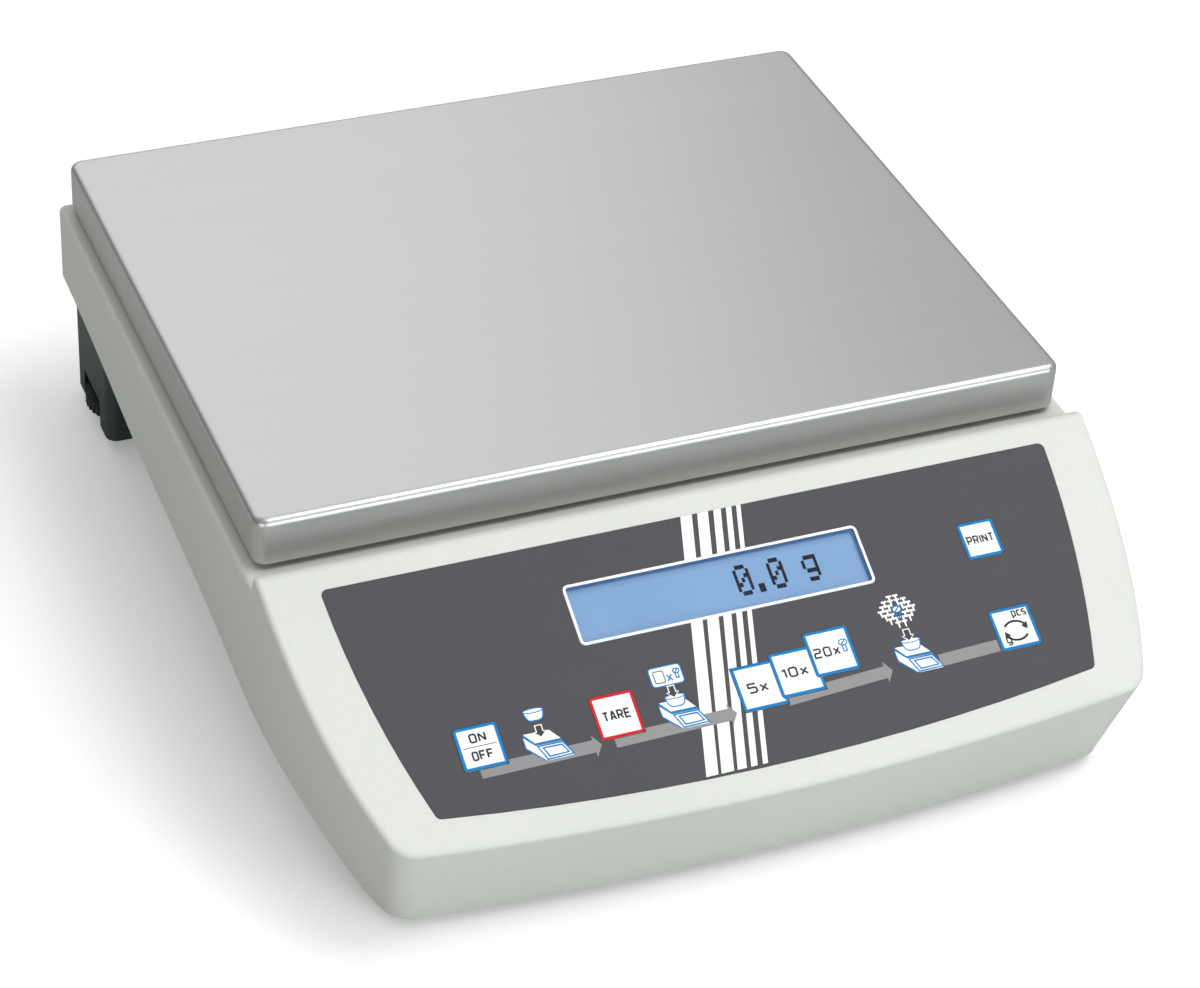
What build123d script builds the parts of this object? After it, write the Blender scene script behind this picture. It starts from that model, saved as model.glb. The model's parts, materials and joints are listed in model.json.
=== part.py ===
"""Bench counting scale: low sloped housing, steel pan on one load cell, membrane keypad.

Millimetres, +Z up, +X to the reader's right, the display faces -Y. The origin is the
middle of the footprint at floor level. Every separate piece is one STEP file in parts/.
"""
import math
import os
from build123d import *

# ---- overall ----
WIDTH = 350.0
DEPTH = 396.0
HEIGHT = 120.0
LIP_ROUNDING = 0.455
FRONT_Y = -DEPTH / 2 - LIP_ROUNDING
REAR_Y = DEPTH / 2
WALL = 3.0

# ---- weighing pan ----
PAN_W = 340.0
PAN_D = 268.0
PAN_SKIRT = 20.0
PAN_SHEET = 1.0
PAN_REAR_Y = REAR_Y - 2.0
PAN_Y = PAN_REAR_Y - PAN_D / 2
PAN_CORNER = 5.5
PAN_BEND = 3.2
PAN_LIFT_GAP = 0.1

# ---- housing ----
DECK_Z = 97.0
RIDGE_Y = -86.0
RIDGE_Z = 104.5
RIDGE_BACK_Y = -80.5
RIDGE_BACK_LEAN = 0.8
PANEL_SLOPE = 26.7
REAR_EDGE_Z = 63.0
NOSE_Z = 4.0
FRONT_LEAN = 0.34
FRONT_BOW = 8.5
SIDE_BOW_START_Y = -60.0
LIP_Z = RIDGE_Z - (RIDGE_Y - FRONT_Y) * math.tan(math.radians(PANEL_SLOPE))
LIP_CORNER_X = 153.0
SIDE_LEAN = 0.12
CORNER_R = 12.0
REAR_CORNER_R = 4.0
LEAST_CORNER_R = 2.0
EDGE_R = 2.0
RIDGE_R = 4.0
LOFT_TOP_Z = 112.0
RIM_MIN_X = 100.0
SEAM_BAND = 12.0
PANEL_WALL = 4.4
SWEEP = ((-172.0, NOSE_Z), (-150.0, 14.0), (-98.0, 32.0), (-20.0, 44.5), (80.0, 51.5))

# ---- base ----
BASE_INSET = 17.0
BASE_Z = 18.0
BASE_FLOOR = 4.0
BASE_WALL = 4.0
BASE_TOP_Z = 46.0
FLOOR_Z = BASE_Z + BASE_FLOOR
BASE_REAR_Y = REAR_Y - BASE_INSET
POD_X = (137.0, 170.0)
POD_Y = (145.0, 196.5)
POD_Z = (5.0, 62.0)
POD_R = 5.0

# ---- levelling feet ----
REAR_FOOT = (155.0, 171.0)
FRONT_FOOT = (118.0, -136.0)
WHEEL_R = 17.5
WHEEL_Z = (7.0, 14.0)
WHEEL_TEETH = 36
WHEEL_STEP = 0.8
WHEEL_CLEAR_R = 19.5
STUD_R = 4.0
STUD_TOP_Z = 38.0
STUD_HOLE_R = 4.3
FOOT_PAD_R = 12.0
FOOT_PAD_H = 6.0
BOSS_R = 9.0
BOSS_TOP_Z = 34.0

# ---- load cell ----
CELL_L = 150.0
CELL_W = 40.0
CELL_H = 30.0
CELL_Z = FLOOR_Z + 14.0
CELL_Y = (PAN_Y - CELL_L / 2, PAN_Y + CELL_L / 2)
CELL_END = 36.0
CELL_GAP = 0.7
CELL_BOLT_PITCH = 20.0
BOLT_R = 3.0
BOLT_ROW = 6.0
BOLT_HEAD_R = 5.0
BOLT_HEAD_H = 5.0
CELL_BORE_R = 12.5
CELL_BORES_Y = (PAN_Y - 18.0, PAN_Y + 18.0)
CELL_SLOT_HALF = 4.0
HUB_Z = (CELL_Z + CELL_H + CELL_GAP, HEIGHT - 16.0)
HUB_SIZE = 44.0
HUB_Y = CELL_Y[0] + CELL_END / 2
DECK_HOLE = 58.0

# ---- carrier ----
CARRIER_Z = HUB_Z[1]
CARRIER_T = 5.0
CARRIER_ARM = 22.0
CARRIER_HALF_X = 132.0
CARRIER_HALF_Y = 100.0
BUFFER_R = 7.0
LOCATOR_R = (9.0, 11.0)
LOCATOR_H = 5.0

# ---- front panel, in its own frame: x across, s down the slope from the ridge ----
OVERLAY_TOP_S = 8.8
OVERLAY_TOP_X = 152.0
OVERLAY_LOW_S = 106.0
OVERLAY_LOW_X = 135.5
OVERLAY_MID_X = 147.0
OVERLAY_BOTTOM_S = 115.0
OVERLAY_R = 2.5
OVERLAY_N = (-0.6, 0.2)
SPACER_N = (-1.4, -0.6)
CIRCUIT_N = (-2.2, -1.4)
POCKET_GAP = 0.15
WINDOW_S = 39.6
WINDOW_W = 123.4
WINDOW_H = 25.6
WINDOW_N = (-0.6, 0.2)
WINDOW_FLANGE = 3.0
VIEW_W = 125.4
VIEW_H = 27.6
KEY_N = (-0.5, 0.5)
KEY_GAP = 0.25
KEY_R = 1.3
KEY_CHAMFER = 0.2
THROUGH_N = (-3.0, 1.0)
BEHIND_N = (-20.0, 0.0)
DOME_R = 5.0
DOME_H = 0.45
KEYS = {
    "key_on_off": (-111.9, 82.6, 17.0),
    "key_tare": (-57.6, 82.2, 17.4),
    "key_count_5x": (0.5, 83.4, 18.3),
    "key_count_10x": (17.0, 81.2, 18.3),
    "key_count_20x": (33.2, 76.0, 18.3),
    "key_print": (110.0, 43.9, 15.4),
    "key_unit_toggle": (109.7, 83.0, 17.2),
}
KEY_COVERED_BY = {"key_count_5x": "key_count_10x", "key_count_10x": "key_count_20x"}

# ---- display module, depths along the panel normal ----
GLASS_N = (-4.5, -1.8)
GLASS_W = 124.8
GLASS_H = 27.0
GLASS_R = 3.0
FRAME_N = (-8.2, -4.5)
FRAME_W = 132.0
FRAME_H = 34.0
LIGHT_W = 118.0
LIGHT_H = 24.0
BOARD_N = (-10.0, -8.4)
BOARD_W = 152.0
BOARD_H = 44.0
BOARD_SCREW = (70.0, 17.0)
BOARD_SCREW_R = 1.1
BOARD_HEAD_R = 2.4
BOARD_HEAD_H = 1.6
POST_R = 3.0
POST_HOLE_R = 1.2

# ---- housing screws ----
HOUSING_SCREWS = ((132.0, 120.0), (140.0, -10.0), (92.0, -140.0))
HOUSING_BOSS_R = 5.0
SCREW_R = 1.7
SCREW_HEAD_R = 3.2
SCREW_SINK_R = 3.6
SCREW_SINK = 2.0
SCREW_REACH = 14.0

# ---- electronics in the base ----
MAIN_BOARD = (84.0, 20.0, 92.0, 150.0)
MAIN_BOARD_Z = FLOOR_Z + 8.0
BOARD_POST_R = 3.5
BOARD_POST_HOLE_R = 1.3
BOARD_T = 1.6
BATTERY = (-86.0, 20.0, 70.0, 101.0, 47.0)
BATTERY_Z = FLOOR_Z + 1.5
COVER_SIZE = (96.0, 122.0)
COVER_LEDGE = 4.0
COVER_Z = (BASE_Z, BASE_Z + 2.4)
SERIAL_AT = (92.0, 34.0)
SERIAL_NUT_X = 12.5
SERIAL_PIN_PITCH = 2.76
SOCKET_AT = (50.0, 33.0)
LEVEL_AT = (-128.0, 112.0)
LEVEL_R = 11.0
LEVEL_H = 9.0
LEVEL_WALL = 1.5

PANEL = Plane(
    origin=(0, RIDGE_Y, RIDGE_Z),
    x_dir=(1, 0, 0),
    z_dir=(0, -math.sin(math.radians(PANEL_SLOPE)), math.cos(math.radians(PANEL_SLOPE))),
)


# ---------- helpers ----------

def span_box(x, y, z):
    """Box from three (low, high) spans."""
    size = (x[1] - x[0], y[1] - y[0], z[1] - z[0])
    middle = (sum(x) / 2, sum(y) / 2, sum(z) / 2)
    return Pos(*middle) * Box(*size)


def rod(x, y, z, radius):
    """Upright cylinder between two heights."""
    return Pos(x, y, z[0]) * Cylinder(radius, z[1] - z[0], align=(Align.CENTER, Align.CENTER, Align.MIN))


def slab(face, plane, n):
    """Extrude a face drawn in a plane between two depths along the plane's normal."""
    return plane.offset(n[0]) * extrude(face, n[1] - n[0])


def rounded(w, h, r, x=0.0, y=0.0):
    return Pos(x, y) * RectangleRounded(w, h, r)


def group(solids):
    """Several separate solids as one node."""
    return Compound(children=list(solids))


def mirrored(points):
    """Each (x, y) at both sides of the centre line."""
    return [(side * x, y) for x, y in points for side in (-1, 1)]


# ---------- housing ----------

def plan_outline(z, inset=0.0):
    """The housing's outline at one height: straight sides that bow in towards a curved front."""
    rise = z - LIP_Z
    side_x = WIDTH / 2 - inset
    front_y = FRONT_Y - FRONT_LEAN * rise + inset
    corner_x = LIP_CORNER_X + SIDE_LEAN * rise - inset
    corner_y = front_y + FRONT_BOW
    start_y = SIDE_BOW_START_Y
    run_x = side_x - corner_x
    run_y = start_y - corner_y
    bow_r = (run_x ** 2 + run_y ** 2) / (2 * run_x)
    turn = math.asin(run_y / bow_r) / 2
    mid = (side_x - bow_r * (1 - math.cos(turn)), start_y - bow_r * math.sin(turn))
    edges = [
        Line((side_x, REAR_Y - inset), (-side_x, REAR_Y - inset)),
        Line((-side_x, REAR_Y - inset), (-side_x, start_y)),
        ThreePointArc((-side_x, start_y), (-mid[0], mid[1]), (-corner_x, corner_y)),
        ThreePointArc((-corner_x, corner_y), (0, front_y), (corner_x, corner_y)),
        ThreePointArc((corner_x, corner_y), mid, (side_x, start_y)),
        Line((side_x, start_y), (side_x, REAR_Y - inset)),
    ]
    face = make_face(edges)
    for low, high, radius in ((REAR_Y - inset - 1, REAR_Y, REAR_CORNER_R), (FRONT_Y * 2, corner_y + 1, CORNER_R)):
        corners = [v for v in face.vertices() if low < v.Y < high + 1]
        face = fillet(corners, max(radius - inset, LEAST_CORNER_R))
    return face


def side_profile(drop=0.0, panel_drop=0.0, lower=0.0):
    """The housing seen from the side, without its lower sweep: deck, ridge and sloped panel."""
    slope = math.tan(math.radians(PANEL_SLOPE))
    lift = panel_drop / math.cos(math.radians(PANEL_SLOPE))
    far_y = FRONT_Y - 40
    top_z = RIDGE_Z - panel_drop
    ridge_y = RIDGE_Y + (lift - panel_drop) / slope
    face = Polygon(
        (REAR_Y + 5, lower),
        (REAR_Y + 5, DECK_Z - drop),
        (RIDGE_BACK_Y - drop, DECK_Z - drop),
        (RIDGE_BACK_Y - drop - RIDGE_BACK_LEAN, top_z),
        (ridge_y, top_z),
        (far_y, RIDGE_Z - lift - (RIDGE_Y - far_y) * slope),
        (far_y, lower),
        align=None,
    )
    if panel_drop == 0:
        face = fillet(face.vertices().sort_by(Axis.Y)[-2:], RIDGE_R)
    return face


def sweep_cutter():
    """What is below the housing's lower edge, which rises from the nose to the rear."""
    edge = Spline(*SWEEP, (REAR_Y + 5, REAR_EDGE_Z), tangents=((1, 0.12), (1, 0.03)))
    nose = Line((FRONT_Y - 40, NOSE_Z), SWEEP[0])
    end = (REAR_Y + 5, REAR_EDGE_Z)
    rest = Polyline(end, (REAR_Y + 5, -20), (FRONT_Y - 40, -20), (FRONT_Y - 40, NOSE_Z))
    return extrude(Plane.YZ.offset(-WIDTH) * make_face([nose, edge, rest]), 2 * WIDTH)


def housing_block(inset, drop, panel_drop):
    body = loft([Pos(0, 0, z) * plan_outline(z, inset) for z in (0.0, LOFT_TOP_Z)], ruled=True)
    across = extrude(Plane.YZ.offset(-WIDTH) * side_profile(drop, panel_drop, -1.0), 2 * WIDTH)
    return body & across


def is_rim(edge):
    """Edges round the deck and the panel, without the inner ones and the corners' upright seams."""
    middle = edge.center()
    on_outline = abs(middle.X) > RIM_MIN_X or abs(middle.Y) > REAR_Y - 1
    half_way_up = abs(middle.Z - LOFT_TOP_Z / 2) <= SEAM_BAND
    upright_seam = half_way_up and edge.geom_type == GeomType.BEZIER
    return middle.Z > LIP_Z - 1 and on_outline and not upright_seam


def housing_outer():
    """The outside shape with soft edges round the deck, the ridge, the panel and the nose."""
    block = housing_block(0.0, 0.0, 0.0)
    return fillet([e for e in block.edges() if is_rim(e)], EDGE_R)


def overlay_face(grow=0.0):
    """The keypad foil's outline in the panel's frame, with all four sides bowed outwards."""
    top = (OVERLAY_TOP_X + grow, -OVERLAY_TOP_S + grow)
    low = (OVERLAY_LOW_X + grow, -OVERLAY_LOW_S - grow)
    mid = (OVERLAY_MID_X + grow, (top[1] + low[1]) / 2)
    bottom = (0, -OVERLAY_BOTTOM_S - grow)
    face = make_face([
        Line((top[0], top[1]), (-top[0], top[1])),
        ThreePointArc((-top[0], top[1]), (-mid[0], mid[1]), (-low[0], low[1])),
        ThreePointArc((-low[0], low[1]), bottom, (low[0], low[1])),
        ThreePointArc((low[0], low[1]), mid, (top[0], top[1])),
    ])
    return fillet(face.vertices(), OVERLAY_R + grow)


def window_face(grow=0.0):
    return rounded(WINDOW_W + 2 * grow, WINDOW_H + 2 * grow, 2.2 + grow, 0, -WINDOW_S)


def key_face(name, grow=0.0):
    """One key's outline; where the next key of a row covers its corner, the corner is cut away."""
    x, s, size = KEYS[name]
    face = rounded(size + 2 * grow, size + 2 * grow, KEY_R + grow, x, -s)
    if name in KEY_COVERED_BY:
        x, s, size = KEYS[KEY_COVERED_BY[name]]
        gap = size + 2 * (KEY_GAP - grow)
        face -= rounded(gap, gap, KEY_R, x, -s)
    return face


def key_openings(grow):
    """The outlines of every key together, for cutting them from a sheet."""
    return [slab(key_face(name, grow), PANEL, THROUGH_N) for name in KEYS]


def housing_bosses():
    """Screw bosses that stand on the base floor, two rows of three."""
    bosses = []
    slope = math.tan(math.radians(PANEL_SLOPE))
    for x, y in mirrored(HOUSING_SCREWS):
        top = DECK_Z - 1 if y > RIDGE_Y else RIDGE_Z - (RIDGE_Y - y) * slope - PANEL_WALL
        boss = rod(x, y, (FLOOR_Z, top), HOUSING_BOSS_R)
        bosses.append(boss - rod(x, y, (FLOOR_Z - 1, FLOOR_Z + SCREW_REACH + 2), SCREW_R + 0.1))
    return bosses


def display_posts():
    """Four posts under the panel that carry the display board."""
    posts = []
    for x, s in board_holes():
        post = slab(Pos(x, s - WINDOW_S) * Circle(POST_R), PANEL, (BOARD_N[1], -PANEL_WALL + 0.5))
        hole = slab(Pos(x, s - WINDOW_S) * Circle(POST_HOLE_R), PANEL, (BEHIND_N[0], -PANEL_WALL - 0.5))
        posts.append(post - hole)
    return posts


def top_housing():
    """The moulded cover: 3 mm walls, panel pocket, display opening, hub opening and bosses."""
    shell = housing_outer() - housing_block(WALL, WALL, PANEL_WALL) - sweep_cutter()
    for solid in housing_bosses() + display_posts():
        shell += solid
    shell -= slab(overlay_face(POCKET_GAP), PANEL, (CIRCUIT_N[0], 2.0))
    shell -= slab(rounded(VIEW_W, VIEW_H, 1.5, 0, -WINDOW_S), PANEL, (-9.0, 2.0))
    half = DECK_HOLE / 2
    return shell - span_box((-half, half), (HUB_Y - half, HUB_Y + half), (DECK_Z - 10, DECK_Z + 2))


# ---------- keypad and display ----------

def panel_overlay():
    sheet = slab(overlay_face(), PANEL, OVERLAY_N)
    sheet -= slab(window_face(KEY_GAP / 2), PANEL, THROUGH_N)
    for hole in key_openings(KEY_GAP):
        sheet -= hole
    return sheet


def keypad_spacer():
    """The adhesive spacer under the foil, open round every key and the window's flange."""
    sheet = slab(overlay_face(-1.0), PANEL, SPACER_N)
    sheet -= slab(window_face(WINDOW_FLANGE + 0.3), PANEL, THROUGH_N)
    for hole in key_openings(KEY_GAP + 0.4):
        sheet -= hole
    return sheet


def keypad_circuit():
    """The circuit foil with one snap dome under each key."""
    sheet = slab(overlay_face(-1.0), PANEL, CIRCUIT_N)
    sheet -= slab(window_face(1.0), PANEL, THROUGH_N)
    for x, s, _ in KEYS.values():
        ball_r = (DOME_R ** 2 + DOME_H ** 2) / (2 * DOME_H)
        ball = PANEL * Pos(x, -s, CIRCUIT_N[1] + DOME_H - ball_r) * Sphere(ball_r)
        cap = ball & slab(Pos(x, -s) * Circle(DOME_R), PANEL, (CIRCUIT_N[1] - 0.1, 0))
        sheet += cap
    return sheet


def key(name):
    """One key plate, with its upper edge softened."""
    plate = slab(key_face(name), PANEL, KEY_N)
    top = plate.faces().filter_by(lambda f: abs(f.normal_at().dot(PANEL.z_dir) - 1) < 1e-4)
    return chamfer(top.edges(), KEY_CHAMFER)


def display_window():
    """Clear window: a raised pane in the foil's opening, held under the foil by its flange."""
    pane = slab(window_face(), PANEL, WINDOW_N)
    return pane + slab(window_face(WINDOW_FLANGE), PANEL, SPACER_N)


def lcd_glass():
    return slab(rounded(GLASS_W, GLASS_H, GLASS_R, 0, -WINDOW_S), PANEL, GLASS_N)


def lcd_frame():
    """Open frame behind the display glass, round the backlight."""
    frame = slab(rounded(FRAME_W, FRAME_H, 2.0, 0, -WINDOW_S), PANEL, FRAME_N)
    return frame - slab(rounded(LIGHT_W, LIGHT_H, 0.6, 0, -WINDOW_S), PANEL, BEHIND_N)


def lcd_backlight():
    face = rounded(LIGHT_W - 0.6, LIGHT_H - 0.6, 0.6, 0, -WINDOW_S)
    return slab(face, PANEL, (FRAME_N[0], FRAME_N[1] - 0.2))


def board_holes():
    return [(x, side * s) for x, s in mirrored([BOARD_SCREW]) for side in (-1, 1)]


def display_board():
    board = slab(rounded(BOARD_W, BOARD_H, 2.0, 0, -WINDOW_S), PANEL, BOARD_N)
    for x, s in board_holes():
        board -= slab(Pos(x, s - WINDOW_S) * Circle(POST_HOLE_R), PANEL, BEHIND_N)
    chips = [(-45.0, 0.0, 14.0, 14.0), (-12.0, 4.0, 10.0, 7.0), (30.0, -2.0, 22.0, 8.0)]
    for x, s, w, h in chips:
        board += slab(rounded(w, h, 0.5, x, s - WINDOW_S), PANEL, (BOARD_N[0] - 2.2, BOARD_N[0]))
    return board


def display_screws():
    screws = []
    for x, s in board_holes():
        at = Pos(x, s - WINDOW_S)
        shank = slab(at * Circle(BOARD_SCREW_R), PANEL, (BOARD_N[0], -PANEL_WALL - 1.0))
        head = slab(at * Circle(BOARD_HEAD_R), PANEL, (BOARD_N[0] - BOARD_HEAD_H, BOARD_N[0]))
        screws.append(shank + head)
    return group(screws)


# ---------- pan and carrier ----------

def weighing_pan():
    """Folded steel tray turned upside down: flat top, rounded bend, vertical skirt."""
    def block(inset, low, high):
        face = rounded(PAN_W - 2 * inset, PAN_D - 2 * inset, PAN_CORNER - inset, 0, PAN_Y)
        return Pos(0, 0, low) * extrude(face, high - low)
    outer = block(0, HEIGHT - PAN_SKIRT, HEIGHT)
    outer = fillet(outer.faces().sort_by(Axis.Z)[-1].edges(), PAN_BEND)
    inner = block(PAN_SHEET, HEIGHT - PAN_SKIRT - 1, HEIGHT - PAN_SHEET)
    inner = fillet(inner.faces().sort_by(Axis.Z)[-1].edges(), PAN_BEND - PAN_SHEET)
    return outer - inner


def arm_ends():
    half_x, half_y = CARRIER_HALF_X, CARRIER_HALF_Y
    return [(x, PAN_Y + y) for x in (-half_x, half_x) for y in (-half_y, half_y)]


def pan_locators():
    """Four rings under the pan that drop over the rubber buffers."""
    top = HEIGHT - PAN_SHEET
    low = top - LOCATOR_H
    return group([rod(x, y, (low, top), LOCATOR_R[1]) - rod(x, y, (low - 1, top + 1), LOCATOR_R[0])
                  for x, y in arm_ends()])


def pan_buffers():
    low = CARRIER_Z + CARRIER_T
    top = HEIGHT - PAN_SHEET - PAN_LIFT_GAP
    return group([fillet(rod(x, y, (low, top), BUFFER_R).edges().group_by(Axis.Z)[-1], 1.5)
                  for x, y in arm_ends()])


def pan_carrier():
    """Cast spider: a centre plate on the hub, two rails and a raised rib along each arm."""
    z = (CARRIER_Z, CARRIER_Z + CARRIER_T)
    ribs = (z[0], z[1] + 4.0)
    half = CARRIER_ARM / 2
    body = span_box((-28, 28), (PAN_Y - CARRIER_HALF_Y, PAN_Y + CARRIER_HALF_Y), z)
    for y in (PAN_Y - CARRIER_HALF_Y, PAN_Y + CARRIER_HALF_Y):
        body += span_box((-CARRIER_HALF_X - half, CARRIER_HALF_X + half), (y - half, y + half), z)
    body = fillet(body.edges().filter_by(Axis.Z), 6.0)
    for y in (PAN_Y - CARRIER_HALF_Y, PAN_Y + CARRIER_HALF_Y):
        body += span_box((-CARRIER_HALF_X + 14, CARRIER_HALF_X - 14), (y - 2, y + 2), ribs)
    for x, y in hub_bolts():
        body -= rod(x, y, (z[0] - 1, z[1] + 1), BOLT_R + 0.3)
    return body


def hub_bolts():
    half = CELL_BOLT_PITCH / 2
    return [(x, HUB_Y + y) for x in (-half, half) for y in (-BOLT_ROW, BOLT_ROW)]


def carrier_hub():
    """Machined block that takes the carrier's load down to the cell's free end."""
    half = HUB_SIZE / 2
    body = span_box((-half, half), (HUB_Y - CELL_END / 2 + 1, HUB_Y + CELL_END / 2 - 1), HUB_Z)
    body = chamfer(body.edges().filter_by(Axis.Z), 2.0)
    for x, y in hub_bolts():
        body -= rod(x, y, (HUB_Z[0] - 1, HUB_Z[1] + 1), BOLT_R + 0.1)
    return body


def socket_bolt(x, y, z, length, head_up=True):
    """Cap screw with a hexagon socket, its head seat at height z."""
    way = 1 if head_up else -1
    shank = sorted((z, z - way * length))
    head = sorted((z, z + way * BOLT_HEAD_H))
    hollow = Pos(x, y, min(z + way * 2.5, z + way * 6.0)) * extrude(RegularPolygon(2.6, 6), 3.5)
    return rod(x, y, shank, BOLT_R) + (rod(x, y, head, BOLT_HEAD_R) - hollow)


def cell_bolts_upper():
    return group([socket_bolt(x, y, CARRIER_Z + CARRIER_T, 52.0) for x, y in hub_bolts()])


# ---------- load cell ----------

def cell_bolts_at():
    half = CELL_BOLT_PITCH / 2
    end = CELL_Y[1] - CELL_END / 2
    return [(x, end + y) for x in (-half, half) for y in (-BOLT_ROW, BOLT_ROW)]


def load_cell():
    """Aluminium beam with the two joined bores that make it a parallel spring."""
    body = span_box((-CELL_W / 2, CELL_W / 2), CELL_Y, (CELL_Z, CELL_Z + CELL_H))
    body = chamfer(body.edges().filter_by(Axis.Y), 0.8)
    mid_z = CELL_Z + CELL_H / 2
    for y in CELL_BORES_Y:
        body -= Pos(0, y, mid_z) * Rot(0, 90, 0) * Cylinder(CELL_BORE_R, CELL_W + 2)
    body -= span_box((-CELL_W, CELL_W), CELL_BORES_Y, (mid_z - CELL_SLOT_HALF, mid_z + CELL_SLOT_HALF))
    for x, y in hub_bolts():
        body -= rod(x, y, (CELL_Z - 1, CELL_Z + CELL_H + 1), BOLT_R + 0.7)
    for x, y in cell_bolts_at():
        body -= rod(x, y, (CELL_Z - 1, CELL_Z + 18), BOLT_R + 0.1)
    return body


def cell_mount_block():
    y = (CELL_Y[1] - CELL_END, CELL_Y[1])
    body = chamfer(span_box((-26, 26), y, (FLOOR_Z, CELL_Z)).edges().filter_by(Axis.Z), 2.0)
    for x, y in cell_bolts_at():
        body -= rod(x, y, (FLOOR_Z - 1, CELL_Z + 1), BOLT_R + 0.3)
    return body


def cell_bolts_lower():
    return group([socket_bolt(x, y, BASE_Z, 32.0, head_up=False) for x, y in cell_bolts_at()])


def gauge_covers():
    """Soft potting over the strain gauges, on top of the beam's two thin sections."""
    top = CELL_Z + CELL_H
    strips = []
    for y in CELL_BORES_Y:
        strips.append(span_box((-14, 14), (y - 8, y + 8), (top, top + 2.0)))
    return group([fillet(s.edges().filter_by(Axis.Z), 2.0) for s in strips])


def overload_stop():
    """Set screw in the floor, just under the cell's free end."""
    x, y = 0, HUB_Y
    screw = rod(x, y, (FLOOR_Z, CELL_Z - 1.0), 4.0)
    nut = Pos(x, y, FLOOR_Z) * extrude(RegularPolygon(7.0, 6), 5.0)
    return screw + nut


# ---------- base and feet ----------

def feet():
    return {
        "rear_left": (-REAR_FOOT[0], REAR_FOOT[1]),
        "rear_right": REAR_FOOT,
        "front_left": (-FRONT_FOOT[0], FRONT_FOOT[1]),
        "front_right": FRONT_FOOT,
    }


def base_shell():
    """Plate with a raised wall, cut from the housing's outline inset all round."""
    def prism(inset, low, high):
        return Pos(0, 0, low) * extrude(plan_outline(NOSE_Z, inset), high - low)
    tray = prism(BASE_INSET, BASE_Z, BASE_TOP_Z)
    return tray - prism(BASE_INSET + BASE_WALL, FLOOR_Z, BASE_TOP_Z + 1)


def pod(side):
    """Corner foot housing at the rear, open below and to the side for the levelling wheel."""
    x = sorted((side * POD_X[0], side * POD_X[1]))
    body = span_box(x, POD_Y, POD_Z)
    body = fillet(body.edges().filter_by(Axis.Z), POD_R)
    x_foot, y_foot = side * REAR_FOOT[0], REAR_FOOT[1]
    return body - rod(x_foot, y_foot, (POD_Z[0] - 1, BASE_Z + 0.5), WHEEL_CLEAR_R)


def base_tray():
    """Cast base: floor, wall, rear foot pods, stud bosses, battery opening and board posts."""
    tray = base_shell()
    for side in (-1, 1):
        tray += pod(side)
    for x, y in feet().values():
        tray += rod(x, y, (BASE_Z + 0.5, BOSS_TOP_Z), BOSS_R)
    for x, y in feet().values():
        tray -= rod(x, y, (BASE_Z - 1, STUD_TOP_Z + 3), STUD_HOLE_R)
    for x, y in mirrored(HOUSING_SCREWS):
        tray -= rod(x, y, (BASE_Z - 1, FLOOR_Z + 1), SCREW_R + 0.3)
        tray -= rod(x, y, (BASE_Z - 1, BASE_Z + SCREW_SINK), SCREW_SINK_R)
    for x, y in cell_bolts_at():
        tray -= rod(x, y, (BASE_Z - 1, FLOOR_Z + 1), BOLT_R + 0.3)
    x, y = BATTERY[0], BATTERY[1]
    w, h = COVER_SIZE
    tray -= span_box((x - w / 2, x + w / 2), (y - h / 2, y + h / 2), (BASE_Z - 1, COVER_Z[1] + 0.2))
    w, h = w - 2 * COVER_LEDGE, h - 2 * COVER_LEDGE
    tray -= span_box((x - w / 2, x + w / 2), (y - h / 2, y + h / 2), (BASE_Z, FLOOR_Z + 1))
    tray -= rear_ports()
    for x, y in board_posts():
        tray += rod(x, y, (FLOOR_Z, MAIN_BOARD_Z), BOARD_POST_R)
        tray -= rod(x, y, (FLOOR_Z, MAIN_BOARD_Z + 1), BOARD_POST_HOLE_R)
    return tray


def rear_ports():
    """Openings in the rear wall for the power socket and the serial connector."""
    y = (BASE_REAR_Y - BASE_WALL - 1, BASE_REAR_Y + 1)
    serial = span_box((SERIAL_AT[0] - 9.2, SERIAL_AT[0] + 9.2), y, (SERIAL_AT[1] - 5.2, SERIAL_AT[1] + 5.2))
    power = span_box((SOCKET_AT[0] - 5.1, SOCKET_AT[0] + 5.1), y, (SOCKET_AT[1] - 5.6, SOCKET_AT[1] + 5.6))
    return serial + power


def board_posts():
    x, y, w, h = MAIN_BOARD
    return [(x + i * (w / 2 - 5), y + j * (h / 2 - 5)) for i in (-1, 1) for j in (-1, 1)]


def foot_wheel(x, y):
    """Knurled wheel and threaded stud in one piece, turned by a fingertip to level the scale."""
    knurl = Circle(WHEEL_R)
    for i in range(WHEEL_TEETH):
        angle = 2 * math.pi * (i + 0.5) / WHEEL_TEETH
        knurl -= Pos(WHEEL_R * math.cos(angle), WHEEL_R * math.sin(angle)) * Circle(0.8)
    band = extrude(knurl, WHEEL_Z[1] - WHEEL_Z[0] - 2 * WHEEL_STEP)
    disc = Pos(x, y, WHEEL_Z[0] + WHEEL_STEP) * band
    disc += rod(x, y, WHEEL_Z, WHEEL_R - 1.2)
    return disc + rod(x, y, (2.0, STUD_TOP_Z), STUD_R)


def foot_pad(x, y):
    """Rubber pad that holds the stud's lower end in a blind hole."""
    pad = chamfer(rod(x, y, (0, FOOT_PAD_H), FOOT_PAD_R).edges(), 0.8)
    return pad - rod(x, y, (2.0, FOOT_PAD_H + 1), STUD_R + 0.3)


def housing_screws():
    screws = []
    for x, y in mirrored(HOUSING_SCREWS):
        head = rod(x, y, (BASE_Z + 0.1, BASE_Z + SCREW_SINK), SCREW_HEAD_R)
        cross = Pos(x, y, BASE_Z) * (Box(4.0, 0.9, 1.6) + Box(0.9, 4.0, 1.6))
        shank = rod(x, y, (BASE_Z + SCREW_SINK, FLOOR_Z + SCREW_REACH), SCREW_R)
        screws.append(shank + head - cross)
    return group(screws)


# ---------- battery, electronics ----------

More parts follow.
